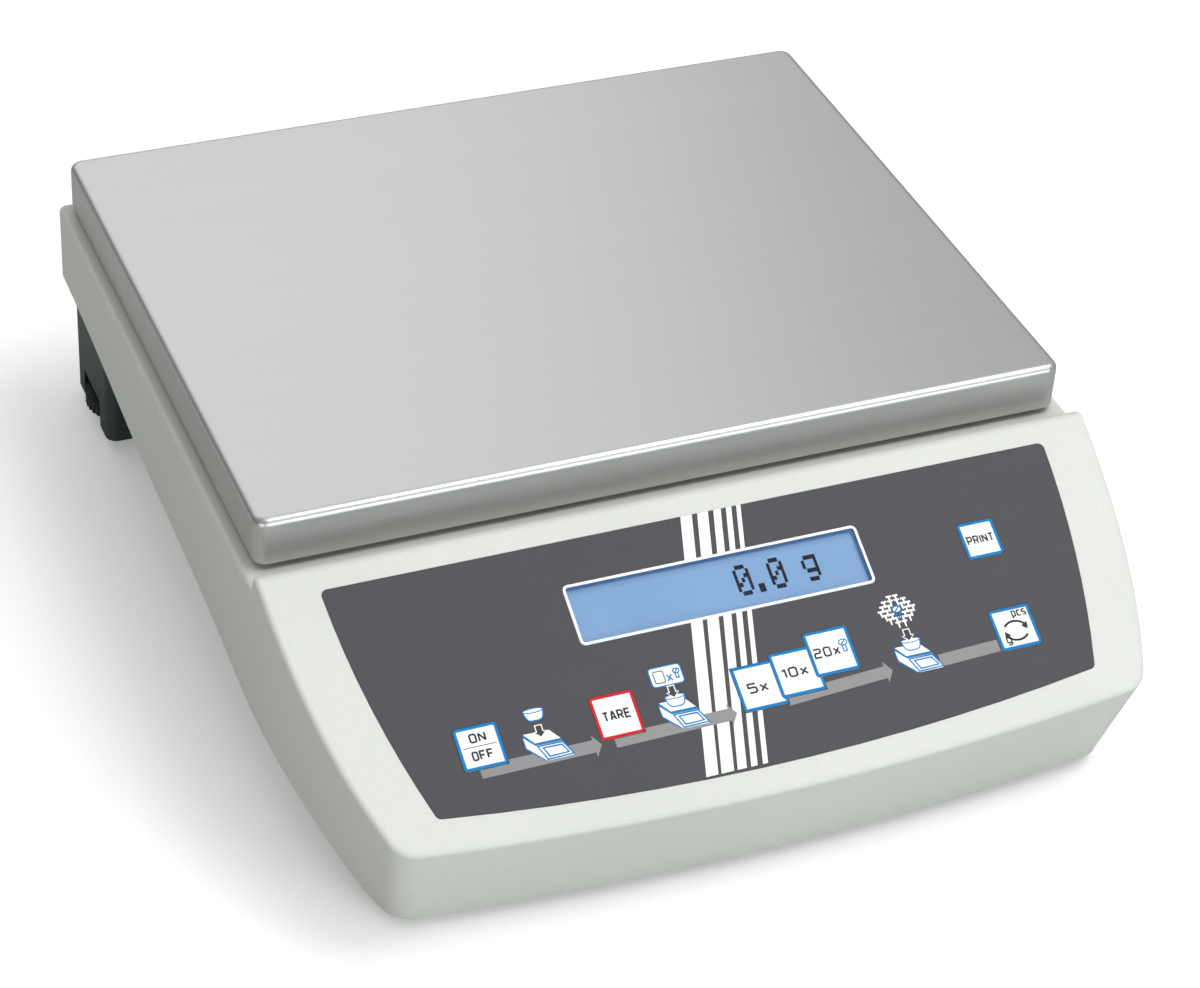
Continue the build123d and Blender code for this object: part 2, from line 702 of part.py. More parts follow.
def battery_pack():
    x, y, w, h, tall = BATTERY
    body = span_box((x - w / 2, x + w / 2), (y - h / 2, y + h / 2), (BATTERY_Z, BATTERY_Z + tall))
    body = fillet(body.edges().filter_by(Axis.Z), 2.0)
    for side in (-1, 1):
        body += span_box((x + side * 22 - 3, x + side * 22 + 3), (y - h / 2 + 6, y - h / 2 + 7),
                         (BATTERY_Z + tall, BATTERY_Z + tall + 6))
    return body


def battery_cover():
    """Removable plate in the base, with a row of grip grooves and one screw hole."""
    x, y = BATTERY[0], BATTERY[1]
    w, h = COVER_SIZE[0] - 0.6, COVER_SIZE[1] - 0.6
    plate = span_box((x - w / 2, x + w / 2), (y - h / 2, y + h / 2), COVER_Z)
    plate = fillet(plate.edges().filter_by(Axis.Z), 1.0)
    for i in range(5):
        rib_y = y - 30 + i * 3.5
        plate -= span_box((x - 14, x + 14), (rib_y, rib_y + 1.5), (COVER_Z[0] - 1, COVER_Z[0] + 0.8))
    return plate - rod(x, y + h / 2 - 7, (COVER_Z[0] - 1, COVER_Z[1] + 1), 1.9)


def battery_cover_screw():
    x, y = BATTERY[0], BATTERY[1] + COVER_SIZE[1] / 2 - 7.3
    head = rod(x, y, (COVER_Z[0] - 0.9, COVER_Z[0]), 3.4)
    slot = span_box((x - 4, x + 4), (y - 0.5, y + 0.5), (COVER_Z[0] - 1, COVER_Z[0] - 0.4))
    return rod(x, y, (COVER_Z[0], COVER_Z[1] + 0.1), 1.7) + head - slot


def main_board():
    x, y, w, h = MAIN_BOARD
    board = Pos(0, 0, MAIN_BOARD_Z) * extrude(rounded(w, h, 2.0, x, y), BOARD_T)
    for px, py in board_posts():
        board -= rod(px, py, (MAIN_BOARD_Z - 1, MAIN_BOARD_Z + 3), 1.6)
    return board


def main_board_parts():
    """Processor, converter, capacitors and cable headers."""
    x, y = MAIN_BOARD[0], MAIN_BOARD[1]
    z = MAIN_BOARD_Z + BOARD_T
    parts = [span_box((x + a - w / 2, x + a + w / 2), (y + b - d / 2, y + b + d / 2), (z, z + t))
             for a, b, w, d, t in ((10, -20, 16, 16, 2), (-20, -45, 12, 8, 2), (24, -50, 20, 6, 8),
                                   (-10, 55, 14, 14, 6), (-30, -62, 26, 6, 8))]
    parts += [rod(x + a, y + b, (z, z + 12), 5) for a, b in ((22, 20), (22, 34), (8, 30))]
    return group(parts)


def converter_shield():
    """Tin can over the weighing circuit."""
    x, y, z = MAIN_BOARD[0] - 24, MAIN_BOARD[1] + 5, MAIN_BOARD_Z + BOARD_T
    can = span_box((x - 17, x + 17), (y - 20, y + 20), (z, z + 8))
    can = fillet(can.edges().filter_by(Axis.Z), 1.5)
    return can - span_box((x - 16.5, x + 16.5), (y - 19.5, y + 19.5), (z - 1, z + 7.5))


def board_screws():
    z = MAIN_BOARD_Z + BOARD_T
    return group([rod(x, y, (FLOOR_Z + 1, z), 1.2) + rod(x, y, (z, z + 1.8), 2.8) for x, y in board_posts()])


def serial_connector():
    """Nine-way socket in the rear wall, its shell standing out through the opening."""
    x, z = SERIAL_AT
    y = BASE_REAR_Y
    flange = span_box((x - 15.5, x + 15.5), (y, y + 1.0), (z - 6.2, z + 6.2))
    shell = span_box((x - 8.4, x + 8.4), (y + 1.0, y + 6.5), (z - 4.3, z + 4.3))
    shell = fillet(shell.edges().filter_by(Axis.Y), 2.2)
    body = flange + shell + span_box((x - 8.8, x + 8.8), (y - 14, y), (z - 4.8, z + 4.8))
    pins = [((i - 2) * SERIAL_PIN_PITCH, 1.4) for i in range(5)]
    pins += [((i - 1.5) * SERIAL_PIN_PITCH, -1.4) for i in range(4)]
    for px, pz in pins:
        body -= Pos(x + px, y + 5.5, z + pz) * Rot(90, 0, 0) * Cylinder(0.6, 4.0)
    for side in (-1, 1):
        body -= Pos(x + side * SERIAL_NUT_X, y, z) * Rot(90, 0, 0) * Cylinder(1.6, 4.0)
    return body


def serial_jackscrews():
    x, z = SERIAL_AT
    y = BASE_REAR_Y
    nuts = []
    for side in (-1, 1):
        at = Pos(x + side * SERIAL_NUT_X, y + 1.0, z) * Rot(-90, 0, 0)
        nuts.append(at * (extrude(RegularPolygon(2.9, 6), 5.0) - Pos(0, 0, 1) * extrude(Circle(1.2), 5.0)))
    return group(nuts)


def power_socket():
    """Low-voltage barrel socket for the mains adapter."""
    x, z = SOCKET_AT
    y = BASE_REAR_Y
    body = span_box((x - 4.6, x + 4.6), (y - 12, y + 1.2), (z - 5.2, z + 5.2))
    body -= Pos(x, y + 1.2 - 4.5, z) * Rot(90, 0, 0) * Cylinder(2.9, 9.2)
    return body + Pos(x, y - 4.0, z) * Rot(90, 0, 0) * Cylinder(1.0, 8.0)


def level_body():
    """Round spirit level's cup on the deck, seen once the pan is lifted off."""
    x, y = LEVEL_AT
    cup = rod(x, y, (DECK_Z, DECK_Z + LEVEL_H), LEVEL_R)
    cup = chamfer(cup.edges().group_by(Axis.Z)[-1], 0.8)
    return cup - rod(x, y, (DECK_Z + LEVEL_WALL, DECK_Z + LEVEL_H + 1), LEVEL_R - LEVEL_WALL)


def level_glass():
    x, y = LEVEL_AT
    top = DECK_Z + LEVEL_H
    return rod(x, y, (top - 1.6, top - 0.2), LEVEL_R - LEVEL_WALL)


def level_bubble():
    """The air bubble in the liquid, resting against the glass."""
    x, y = LEVEL_AT
    top = DECK_Z + LEVEL_H - 1.6
    return rod(x, y, (top - 1.2, top), 2.4)


def cell_cable():
    """Screened lead from the load cell to the weighing circuit."""
    z = CELL_Z + CELL_H / 2
    y = CELL_Y[1] - CELL_END - 6
    x_end = MAIN_BOARD[0] - 24
    points = [(CELL_W / 2, y, z), (CELL_W / 2 + 14, y, z), (CELL_W / 2 + 26, y - 6, 52.0),
              (x_end - 6, y - 34, 52.0), (x_end, y - 48, 42.5)]
    path = FilletPolyline(*points, radius=6.0)
    return sweep(Plane(origin=path @ 0, z_dir=path % 0) * Circle(2.0), path=path)


def ribbon_cable():
    """Flat cable from the display board down to the main board's header."""
    x = MAIN_BOARD[0] - 30
    low = (MAIN_BOARD[1] - 62, MAIN_BOARD_Z + BOARD_T + 8.8)
    start = PANEL.from_local_coords(Vector(0, -WINDOW_S + 16, BOARD_N[0] - 1.2))
    points = [(start.Y, start.Z), (start.Y + 3, start.Z - 10), (low[0] - 16, low[1] + 14), (low[0], low[1])]
    strip = make_face(offset_band(points, 0.5))
    return Pos(x - 12, 0, 0) * extrude(Plane.YZ * strip, 24.0)


def offset_band(points, half):
    """A closed outline of constant thickness along a bent line of (y, z) points."""
    upper, lower = [], []
    for i, (y, z) in enumerate(points):
        ahead = points[min(i + 1, len(points) - 1)]
        back = points[max(i - 1, 0)]
        run = math.hypot(ahead[0] - back[0], ahead[1] - back[1])
        side = (-(ahead[1] - back[1]) / run * half, (ahead[0] - back[0]) / run * half)
        upper.append((y + side[0], z + side[1]))
        lower.append((y - side[0], z - side[1]))
    return Polyline(*upper, *reversed(lower), close=True)


# ---------- the whole scale ----------

def build_nodes():
    nodes = {
        "top_housing": top_housing(),
        "base_tray": base_tray(),
        "housing_screws": housing_screws(),
        "panel_overlay": panel_overlay(),
        "keypad_spacer": keypad_spacer(),
        "keypad_circuit": keypad_circuit(),
        "display_window": display_window(),
        "lcd_glass": lcd_glass(),
        "lcd_frame": lcd_frame(),
        "lcd_backlight": lcd_backlight(),
        "display_board": display_board(),
        "display_screws": display_screws(),
        "weighing_pan": weighing_pan(),
        "pan_locators": pan_locators(),
        "pan_buffers": pan_buffers(),
        "pan_carrier": pan_carrier(),
        "carrier_hub": carrier_hub(),
        "cell_bolts_upper": cell_bolts_upper(),
        "load_cell": load_cell(),
        "cell_mount_block": cell_mount_block(),
        "cell_bolts_lower": cell_bolts_lower(),
        "gauge_covers": gauge_covers(),
        "overload_stop": overload_stop(),
        "battery_pack": battery_pack(),
        "battery_cover": battery_cover(),
        "battery_cover_screw": battery_cover_screw(),
        "main_board": main_board(),
        "main_board_parts": main_board_parts(),
        "converter_shield": converter_shield(),
        "board_screws": board_screws(),
        "serial_connector": serial_connector(),
        "serial_jackscrews": serial_jackscrews(),
        "power_socket": power_socket(),
        "level_body": level_body(),
        "level_glass": level_glass(),
        "level_bubble": level_bubble(),
        "cell_cable": cell_cable(),
        "ribbon_cable": ribbon_cable(),
    }
    for name in KEYS:
        nodes[name] = key(name)
    for corner, (x, y) in feet().items():
        nodes["foot_wheel_" + corner] = foot_wheel(x, y)
        nodes["foot_pad_" + corner] = foot_pad(x, y)
    return nodes


def main():
    os.makedirs("parts", exist_ok=True)
    for name, shape in build_nodes().items():
        export_step(shape, os.path.join("parts", name + ".step"))


if __name__ == "__main__":
    main()
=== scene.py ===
import json
import math

import bmesh
import bpy
from mathutils import Matrix, Vector


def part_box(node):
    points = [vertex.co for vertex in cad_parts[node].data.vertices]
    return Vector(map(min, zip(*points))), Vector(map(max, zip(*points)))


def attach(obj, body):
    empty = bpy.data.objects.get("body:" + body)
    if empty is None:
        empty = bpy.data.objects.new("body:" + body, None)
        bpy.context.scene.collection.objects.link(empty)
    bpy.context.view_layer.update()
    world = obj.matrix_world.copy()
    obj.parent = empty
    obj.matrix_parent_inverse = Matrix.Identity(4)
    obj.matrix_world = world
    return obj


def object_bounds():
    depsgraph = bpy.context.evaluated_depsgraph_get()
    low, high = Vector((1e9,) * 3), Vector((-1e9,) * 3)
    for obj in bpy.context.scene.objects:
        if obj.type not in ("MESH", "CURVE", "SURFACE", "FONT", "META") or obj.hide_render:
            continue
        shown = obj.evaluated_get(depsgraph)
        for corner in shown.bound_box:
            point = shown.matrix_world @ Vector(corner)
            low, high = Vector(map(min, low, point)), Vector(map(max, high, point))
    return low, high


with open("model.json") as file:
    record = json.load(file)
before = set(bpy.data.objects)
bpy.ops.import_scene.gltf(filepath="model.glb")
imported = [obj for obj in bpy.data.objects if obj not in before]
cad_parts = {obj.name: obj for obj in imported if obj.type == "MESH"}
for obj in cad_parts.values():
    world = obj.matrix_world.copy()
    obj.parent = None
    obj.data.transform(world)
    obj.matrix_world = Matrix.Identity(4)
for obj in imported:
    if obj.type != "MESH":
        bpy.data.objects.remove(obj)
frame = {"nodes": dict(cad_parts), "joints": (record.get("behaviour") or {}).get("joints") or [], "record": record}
CAD_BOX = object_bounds()

# Looks for the bench counting scale: materials for every CAD node, the print on the keypad
# foil, the keys and the display, a pale floor, soft light and the camera.

NODES = frame["nodes"]
RECORD = frame["record"]
SLOT_OF = {part["node"]: part["material_slot"] for part in RECORD["subparts"]}
MM = 0.001


# ---------- the sloped panel's own frame: x across, s down the slope, in millimetres ----------

PRESS = next(j for j in frame["joints"] if j["name"] == "key_tare_press")
NORMAL = -Vector(PRESS["axis"]).normalized()
ACROSS = Vector((1, 0, 0))
UP = NORMAL.cross(ACROSS)
FOIL_TOP_S = 8.8
FOIL = "panel_overlay"


def reach(node, way):
    """How far a CAD node goes in a direction, in metres."""
    return max(v.co.dot(way) for v in NODES[node].data.vertices)


PANEL = Matrix((ACROSS, UP, NORMAL)).transposed().to_4x4()
PANEL.translation = UP * (reach(FOIL, UP) + FOIL_TOP_S * MM) + NORMAL * reach(FOIL, NORMAL)


def span(node):
    """A node's edges on the panel: left, right, upper and lower, in millimetres."""
    low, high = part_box(node)
    top = FOIL_TOP_S + (reach(FOIL, UP) - reach(node, UP)) / MM
    bottom = FOIL_TOP_S + (reach(FOIL, UP) + reach(node, -UP)) / MM
    return low.x / MM, high.x / MM, top, bottom


def level(node):
    """How far a node's face stands above the foil's face, in millimetres."""
    return (reach(node, NORMAL) - reach(FOIL, NORMAL)) / MM


# ---------- node helpers ----------

def new_material(name):
    mat = bpy.data.materials.new(name)
    mat.use_nodes = True
    nodes = mat.node_tree.nodes
    nodes.clear()
    out = nodes.new("ShaderNodeOutputMaterial")
    shader = nodes.new("ShaderNodeBsdfPrincipled")
    mat.node_tree.links.new(shader.outputs[0], out.inputs["Surface"])
    return mat, shader


def add(mat, kind, **values):
    """A new node with its inputs set by name (underscores stand for spaces)."""
    node = mat.node_tree.nodes.new(kind)
    for key, value in values.items():
        socket = key.replace("_", " ")
        if socket in node.inputs:
            node.inputs[socket].default_value = value
        else:
            setattr(node, key, value)
    return node


def link(mat, source, target):
    mat.node_tree.links.new(source, target)


def mapped(mat, scale=(1, 1, 1)):
    """Object coordinates, in metres, stretched by a scale."""
    coords = add(mat, "ShaderNodeTexCoord")
    mapping = add(mat, "ShaderNodeMapping")
    mapping.inputs["Scale"].default_value = scale
    link(mat, coords.outputs["Object"], mapping.inputs["Vector"])
    return mapping.outputs["Vector"]


def noise(mat, vector, scale, detail=3.0, roughness=0.55):
    node = add(mat, "ShaderNodeTexNoise", Scale=scale, Detail=detail, Roughness=roughness)
    link(mat, vector, node.inputs["Vector"])
    return node.outputs["Fac"]


def ranged(mat, value, low, high, start=0.3, end=0.7):
    """A value between start and end, spread over low to high."""
    node = add(mat, "ShaderNodeMapRange", From_Min=start, From_Max=end, To_Min=low, To_Max=high)
    link(mat, value, node.inputs["Value"])
    return node.outputs["Result"]


def maths(mat, operation, a, b=None):
    node = add(mat, "ShaderNodeMath", operation=operation)
    for socket, value in zip(node.inputs, (a, b)):
        if isinstance(value, (int, float)):
            socket.default_value = value
        elif value is not None:
            link(mat, value, socket)
    return node.outputs[0]


def mixed(mat, factor, a, b):
    """A colour between a and b; each is a colour or a socket."""
    node = add(mat, "ShaderNodeMix", data_type="RGBA")
    link(mat, factor, node.inputs[0])
    for socket, value in ((node.inputs[6], a), (node.inputs[7], b)):
        if isinstance(value, tuple):
            socket.default_value = (*value, 1.0)
        else:
            link(mat, value, socket)
    return node.outputs[2]


def shade(colour, by):
    return tuple(min(1.0, c * by) for c in colour)


def bumped(mat, shader, height, depth, strength=1.0):
    node = add(mat, "ShaderNodeBump", Strength=strength, Distance=depth)
    link(mat, height, node.inputs["Height"])
    link(mat, node.outputs["Normal"], shader.inputs["Normal"])


# ---------- materials ----------

def plain(name, colour, rough, metal=0.0, grain=1500.0, depth=0.00002, mottle=0.04, specular=0.5):
    """Moulded, cast, painted or printed surface: a fine grain over slow changes of colour."""
    mat, shader = new_material(name)
    vector = mapped(mat)
    fine = noise(mat, vector, grain)
    slow = noise(mat, vector, grain / 40, 2.0)
    both = maths(mat, "ADD", maths(mat, "MULTIPLY", fine, 0.5), maths(mat, "MULTIPLY", slow, 0.5))
    colours = mixed(mat, ranged(mat, both, 0.0, 1.0), shade(colour, 1 - mottle), shade(colour, 1 + mottle))
    link(mat, colours, shader.inputs["Base Color"])
    link(mat, ranged(mat, both, rough - 0.06, rough + 0.06), shader.inputs["Roughness"])
    shader.inputs["Metallic"].default_value = metal
    shader.inputs["Specular IOR Level"].default_value = specular
    bumped(mat, shader, fine, depth)
    return mat


def housing_plastic():
    """Light grey moulding with a spark-eroded grain: small rounded pits over a soft ripple."""
    mat, shader = new_material("housing_plastic")
    vector = mapped(mat)
    pits = add(mat, "ShaderNodeTexVoronoi", Scale=1250.0, feature="SMOOTH_F1")
    link(mat, vector, pits.inputs["Vector"])
    ripple = noise(mat, vector, 700.0, 4.0)
    slow = noise(mat, vector, 9.0, 2.0)
    height = maths(mat, "ADD", maths(mat, "MULTIPLY", pits.outputs["Distance"], 0.6), ripple)
    tone = mixed(mat, ranged(mat, slow, 0.0, 1.0), (0.655, 0.668, 0.640), (0.690, 0.702, 0.674))
    tone = mixed(mat, ranged(mat, ripple, 0.0, 0.35), tone, (0.600, 0.612, 0.586))
    link(mat, tone, shader.inputs["Base Color"])
    link(mat, ranged(mat, height, 0.44, 0.60, 0.5, 1.1), shader.inputs["Roughness"])
    shader.inputs["Specular IOR Level"].default_value = 0.45
    bumped(mat, shader, height, 0.000035, 0.9)
    return mat


def brushed_steel(name, colour, rough, long_scale=14.0, cross_scale=2400.0):
    """Sheet metal brushed along X; on sides that face X the scratches run down the fold."""
    mat, shader = new_material(name)
    flat = noise(mat, mapped(mat, (long_scale, cross_scale, cross_scale)), 1.0, 4.0, 0.6)
    side = noise(mat, mapped(mat, (cross_scale, cross_scale, long_scale)), 1.0, 4.0, 0.6)
    wide = noise(mat, mapped(mat, (2.5, 60.0, 60.0)), 1.0, 2.0)
    geometry = add(mat, "ShaderNodeNewGeometry")
    parts = add(mat, "ShaderNodeSeparateXYZ")
    link(mat, geometry.outputs["Normal"], parts.inputs[0])
    facing = ranged(mat, maths(mat, "ABSOLUTE", parts.outputs["X"]), 0.0, 1.0, 0.55, 0.85)
    pick = add(mat, "ShaderNodeMix", data_type="FLOAT")
    for socket, value in zip((pick.inputs[0], pick.inputs[2], pick.inputs[3]), (facing, flat, side)):
        link(mat, value, socket)
    lines = pick.outputs[0]
    tone = mixed(mat, ranged(mat, lines, 0.0, 1.0), shade(colour, 0.955), shade(colour, 1.035))
    tone = mixed(mat, ranged(mat, wide, 0.0, 0.4), tone, shade(colour, 0.97))
    link(mat, tone, shader.inputs["Base Color"])
    link(mat, ranged(mat, lines, rough - 0.03, rough + 0.04), shader.inputs["Roughness"])
    shader.inputs["Metallic"].default_value = 1.0
    bumped(mat, shader, lines, 0.000004, 0.5)
    return mat


def powder_coat():
    """Dark blue-grey coating with the orange-peel texture of baked powder."""
    mat, shader = new_material("powder_coat")
    vector = mapped(mat)
    peel = noise(mat, vector, 420.0, 3.0)
    grit = noise(mat, vector, 2200.0, 2.0)
    height = maths(mat, "ADD", peel, maths(mat, "MULTIPLY", grit, 0.4))
    tone = mixed(mat, ranged(mat, peel, 0.0, 1.0), (0.026, 0.040, 0.043), (0.036, 0.052, 0.055))
    link(mat, tone, shader.inputs["Base Color"])
    link(mat, ranged(mat, grit, 0.42, 0.62), shader.inputs["Roughness"])
    bumped(mat, shader, height, 0.00006, 0.8)
    return mat


def window_glass():
    """Clear acrylic pane: nearly see-through, with a soft gloss and the faintest haze."""
    mat, shader = new_material("window_pane")
    haze = noise(mat, mapped(mat), 60.0, 2.0)
    link(mat, mixed(mat, ranged(mat, haze, 0.0, 1.0), (0.12, 0.15, 0.18), (0.15, 0.18, 0.21)),
         shader.inputs["Base Color"])
    link(mat, ranged(mat, haze, 0.05, 0.12), shader.inputs["Roughness"])
    shader.inputs["Alpha"].default_value = 0.02
    shader.inputs["Specular IOR Level"].default_value = 0.2
    return mat


def lit_display():
    """Blue backlit glass, with the shade of its frame painted darker along the upper and right edges."""
    mat, shader = new_material("lit_display")
    left, right, top, bottom = span("lcd_glass")
    coords = add(mat, "ShaderNodeTexCoord")
    along = add(mat, "ShaderNodeVectorMath", operation="DOT_PRODUCT")
    along.inputs[1].default_value = UP
    link(mat, coords.outputs["Object"], along.inputs[0])
    parts = add(mat, "ShaderNodeSeparateXYZ")
    link(mat, coords.outputs["Object"], parts.inputs[0])
    up_edge = reach("lcd_glass", UP)
    # Painted shade: masks that darken the glass towards its upper and right edges, where the frame's shadow would
    # fall.
    painted_shadow_top = ranged(mat, along.outputs["Value"], 0.0, 1.0, up_edge - 5.2 * MM, up_edge - 1.4 * MM)
    painted_shadow_right = ranged(mat, parts.outputs["X"], 0.0, 1.0, (right - 4.2) * MM, (right - 1.4) * MM)
    painted_shadow = maths(mat, "MAXIMUM", painted_shadow_top, painted_shadow_right)
    glow = noise(mat, mapped(mat), 28.0, 2.0)
    cells = noise(mat, mapped(mat), 2600.0, 1.0)
    tone = mixed(mat, ranged(mat, glow, 0.0, 1.0), (0.064, 0.172, 0.345), (0.074, 0.190, 0.372))
    tone = mixed(mat, ranged(mat, cells, 0.0, 0.2), tone, (0.058, 0.158, 0.322))
    # The painted shadow's dark blue goes into both the base colour and the glow.
    tone = mixed(mat, maths(mat, "MULTIPLY", painted_shadow, 0.75), tone, (0.014, 0.070, 0.185))
    link(mat, tone, shader.inputs["Base Color"])
    link(mat, tone, shader.inputs["Emission Color"])
    shader.inputs["Emission Strength"].default_value = 0.55
    shader.inputs["Roughness"].default_value = 0.35
    return mat


def circuit_board():
    """Green solder mask over copper tracks laid out on a square grid, with tinned pads."""
    mat, shader = new_material("circuit_board_mask")
    vector = mapped(mat)
    tracks = add(mat, "ShaderNodeTexVoronoi", Scale=260.0, feature="DISTANCE_TO_EDGE")
    link(mat, vector, tracks.inputs["Vector"])
    pads = add(mat, "ShaderNodeTexVoronoi", Scale=420.0, distance="CHEBYCHEV")
    link(mat, vector, pads.inputs["Vector"])
    track = ranged(mat, tracks.outputs["Distance"], 1.0, 0.0, 0.04, 0.07)
    pad = ranged(mat, pads.outputs["Distance"], 1.0, 0.0, 0.10, 0.12)
    tone = mixed(mat, track, (0.010, 0.095, 0.038), (0.022, 0.190, 0.075))
    tone = mixed(mat, pad, tone, (0.62, 0.60, 0.55))
    link(mat, tone, shader.inputs["Base Color"])
    link(mat, ranged(mat, pad, 0.28, 0.36, 0.0, 1.0), shader.inputs["Roughness"])
    bumped(mat, shader, track, 0.00003)
    return mat


def flat_cable():
    """Grey ribbon: parallel insulated wires across X."""
    mat, shader = new_material("flat_cable")
    wires = add(mat, "ShaderNodeTexWave", Scale=250.0, wave_type="BANDS", bands_direction="X")
    link(mat, mapped(mat), wires.inputs["Vector"])
    link(mat, mixed(mat, wires.outputs["Fac"], (0.20, 0.205, 0.215), (0.36, 0.37, 0.385)),
         shader.inputs["Base Color"])
    shader.inputs["Roughness"].default_value = 0.5
    bumped(mat, shader, wires.outputs["Fac"], 0.0003)
    return mat


def clear_lens():
    """Clear disc over the spirit level."""
    mat, shader = new_material("level_lens_glass")
    haze = noise(mat, mapped(mat), 200.0, 2.0)
    link(mat, mixed(mat, haze, (0.80, 0.90, 0.70), (0.86, 0.94, 0.78)), shader.inputs["Base Color"])
    shader.inputs["Alpha"].default_value = 0.18
    shader.inputs["Roughness"].default_value = 0.05
    return mat


BUILT = {
    "housing": housing_plastic(),
    "pan_steel": brushed_steel("pan_brushed_steel", (0.560, 0.565, 0.560), 0.36),
    "base_metal": powder_coat(),
    "window": window_glass(),
    "lcd": lit_display(),
    "circuit_board": circuit_board(),
    "ribbon": flat_cable(),
    "level_lens": clear_lens(),
    "display_frame": brushed_steel("tinned_sheet", (0.62, 0.62, 0.60), 0.30, 30.0, 900.0),
    "overlay": plain("foil_satin_grey", (0.070, 0.067, 0.076), 0.55, grain=2600.0, depth=0.00001,
                     mottle=0.05, specular=0.22),
    "keypad_film": plain("clear_film_amber", (0.62, 0.60, 0.46), 0.30, grain=300.0),
    "backlight": plain("light_guide", (0.80, 0.84, 0.90), 0.35, grain=500.0),
    "fasteners": plain("zinc_plated_steel", (0.58, 0.58, 0.55), 0.30, metal=1.0, grain=900.0, mottle=0.08),
    "rubber": plain("black_rubber", (0.016, 0.016, 0.018), 0.72, grain=1100.0, depth=0.00006, mottle=0.2),
    "cast_alloy": plain("cast_alloy", (0.50, 0.51, 0.52), 0.52, metal=1.0, grain=700.0, depth=0.00012,
                        mottle=0.08),
    "machined_alloy": brushed_steel("machined_alloy", (0.72, 0.73, 0.74), 0.28, 40.0, 1300.0),
    "black_bolts": plain("black_oxide", (0.022, 0.022, 0.024), 0.42, metal=0.6, grain=1200.0, mottle=0.15),
    "potting": plain("white_silicone", (0.74, 0.73, 0.68), 0.55, grain=260.0, depth=0.0001),
    "battery_case": plain("battery_moulding", (0.030, 0.030, 0.034), 0.45, grain=1300.0, mottle=0.1),
    "black_plastic": plain("black_moulding", (0.020, 0.023, 0.025), 0.42, grain=1400.0, mottle=0.12),
    "components": plain("chip_epoxy", (0.018, 0.018, 0.019), 0.50, grain=1800.0, mottle=0.15),
    "connector_metal": plain("nickel_plate", (0.70, 0.69, 0.66), 0.22, metal=1.0, grain=800.0, mottle=0.05),
    "level_cup": plain("polished_brass", (0.62, 0.46, 0.20), 0.24, metal=1.0, grain=900.0, mottle=0.08),
    "level_liquid": plain("level_liquid", (0.48, 0.72, 0.10), 0.15, grain=100.0, mottle=0.05),
    "cable_jacket": plain("cable_jacket", (0.030, 0.030, 0.031), 0.55, grain=900.0, mottle=0.12),
    "key_face": plain("key_white", (0.88, 0.885, 0.895), 0.40, grain=1800.0, depth=0.00001, mottle=0.02),
    "foot_wheel": plain("wheel_moulding", (0.013, 0.015, 0.017), 0.48, grain=1300.0, mottle=0.15),
}

for node, obj in NODES.items():
    if not obj.material_slots:
        obj.data.materials.append(None)
    for material_slot in obj.material_slots:
        material_slot.material = BUILT[SLOT_OF[node]]


# ---------- print: thin closed slabs on the foil, the keys and the display ----------

def ink(name, colour, rough, **values):
    """Screen-printed colour with the faint tooth of the film under it."""
    return plain(name, colour, rough, **{"grain": 2200.0, "depth": 0.000006, **values})


INKS = {
    "white": ink("ink_white", (0.90, 0.90, 0.91), 0.42, mottle=0.02),
    "blue": ink("ink_blue", (0.000, 0.205, 0.540), 0.6, specular=0.2),
    "red": ink("ink_red", (0.620, 0.004, 0.012), 0.5, specular=0.2),
    "bar": ink("ink_light_grey", (0.225, 0.221, 0.227), 0.45),
    "text": ink("ink_dark_grey", (0.020, 0.021, 0.023), 0.5, specular=0.2),
    "foil": ink("ink_foil_grey", (0.050, 0.047, 0.052), 0.5, specular=0.2),
    "segment": ink("display_segment", (0.003, 0.006, 0.020), 0.5, grain=2600.0, depth=0.000004,
                   specular=0.1),
}
# A slab of ink is one layer thick plus its lift, which counts layers, so that crossing slabs
# never share a face. It starts the root's depth below the surface that it is printed on.
LAYER = 0.03
ROOT = 0.02
SHARPEST_MITRE = 0.35
CORNER_STEPS = 5


def rounded_rect(left, right, top, bottom, r, steps=CORNER_STEPS):
    """A rounded rectangle's outline as points (x, s)."""
    points = []
    for cx, cs, start in ((right - r, top + r, 270), (right - r, bottom - r, 0),
                          (left + r, bottom - r, 90), (left + r, top + r, 180)):
        for i in range(steps + 1):
            angle = math.radians(start + 90 * i / steps)
            points.append((cx + r * math.cos(angle), cs + r * math.sin(angle)))
    return points


def arc(x, s, r, start, end, steps=14):
    angles = [math.radians(start + (end - start) * i / steps) for i in range(steps + 1)]
    return [(x + r * math.cos(a), s + r * math.sin(a)) for a in angles]


def moved(points, x, s):
    return [(px + x, ps + s) for px, ps in points]


def clipped(outline, axis, limit, keep_above):
    """The part of a convex outline on one side of a straight line across the panel."""
    kept = []
    for i, point in enumerate(outline):
        after = outline[(i + 1) % len(outline)]
        inside = (point[axis] >= limit) == keep_above
        inside_after = (after[axis] >= limit) == keep_above
        if inside:
            kept.append(point)
        if inside != inside_after:
            share = (limit - point[axis]) / (after[axis] - point[axis])
            kept.append(tuple(p + (q - p) * share for p, q in zip(point, after)))
    return kept


def outside(outline, rect):
    """What is left of a convex outline round a rectangle, as convex pieces."""
    left, right, top, bottom = rect
    middle = clipped(clipped(outline, 0, left, True), 0, right, False) if outline else []
    pieces = [clipped(outline, 0, left, False), clipped(outline, 0, right, True)]
    if middle:
        pieces += [clipped(middle, 1, top, False), clipped(middle, 1, bottom, True)]
    return [p for p in pieces if len(p) > 2]


def around(outlines, rects):
    for rect in rects:
        outlines = [piece for outline in outlines for piece in outside(outline, rect)]
    return outlines


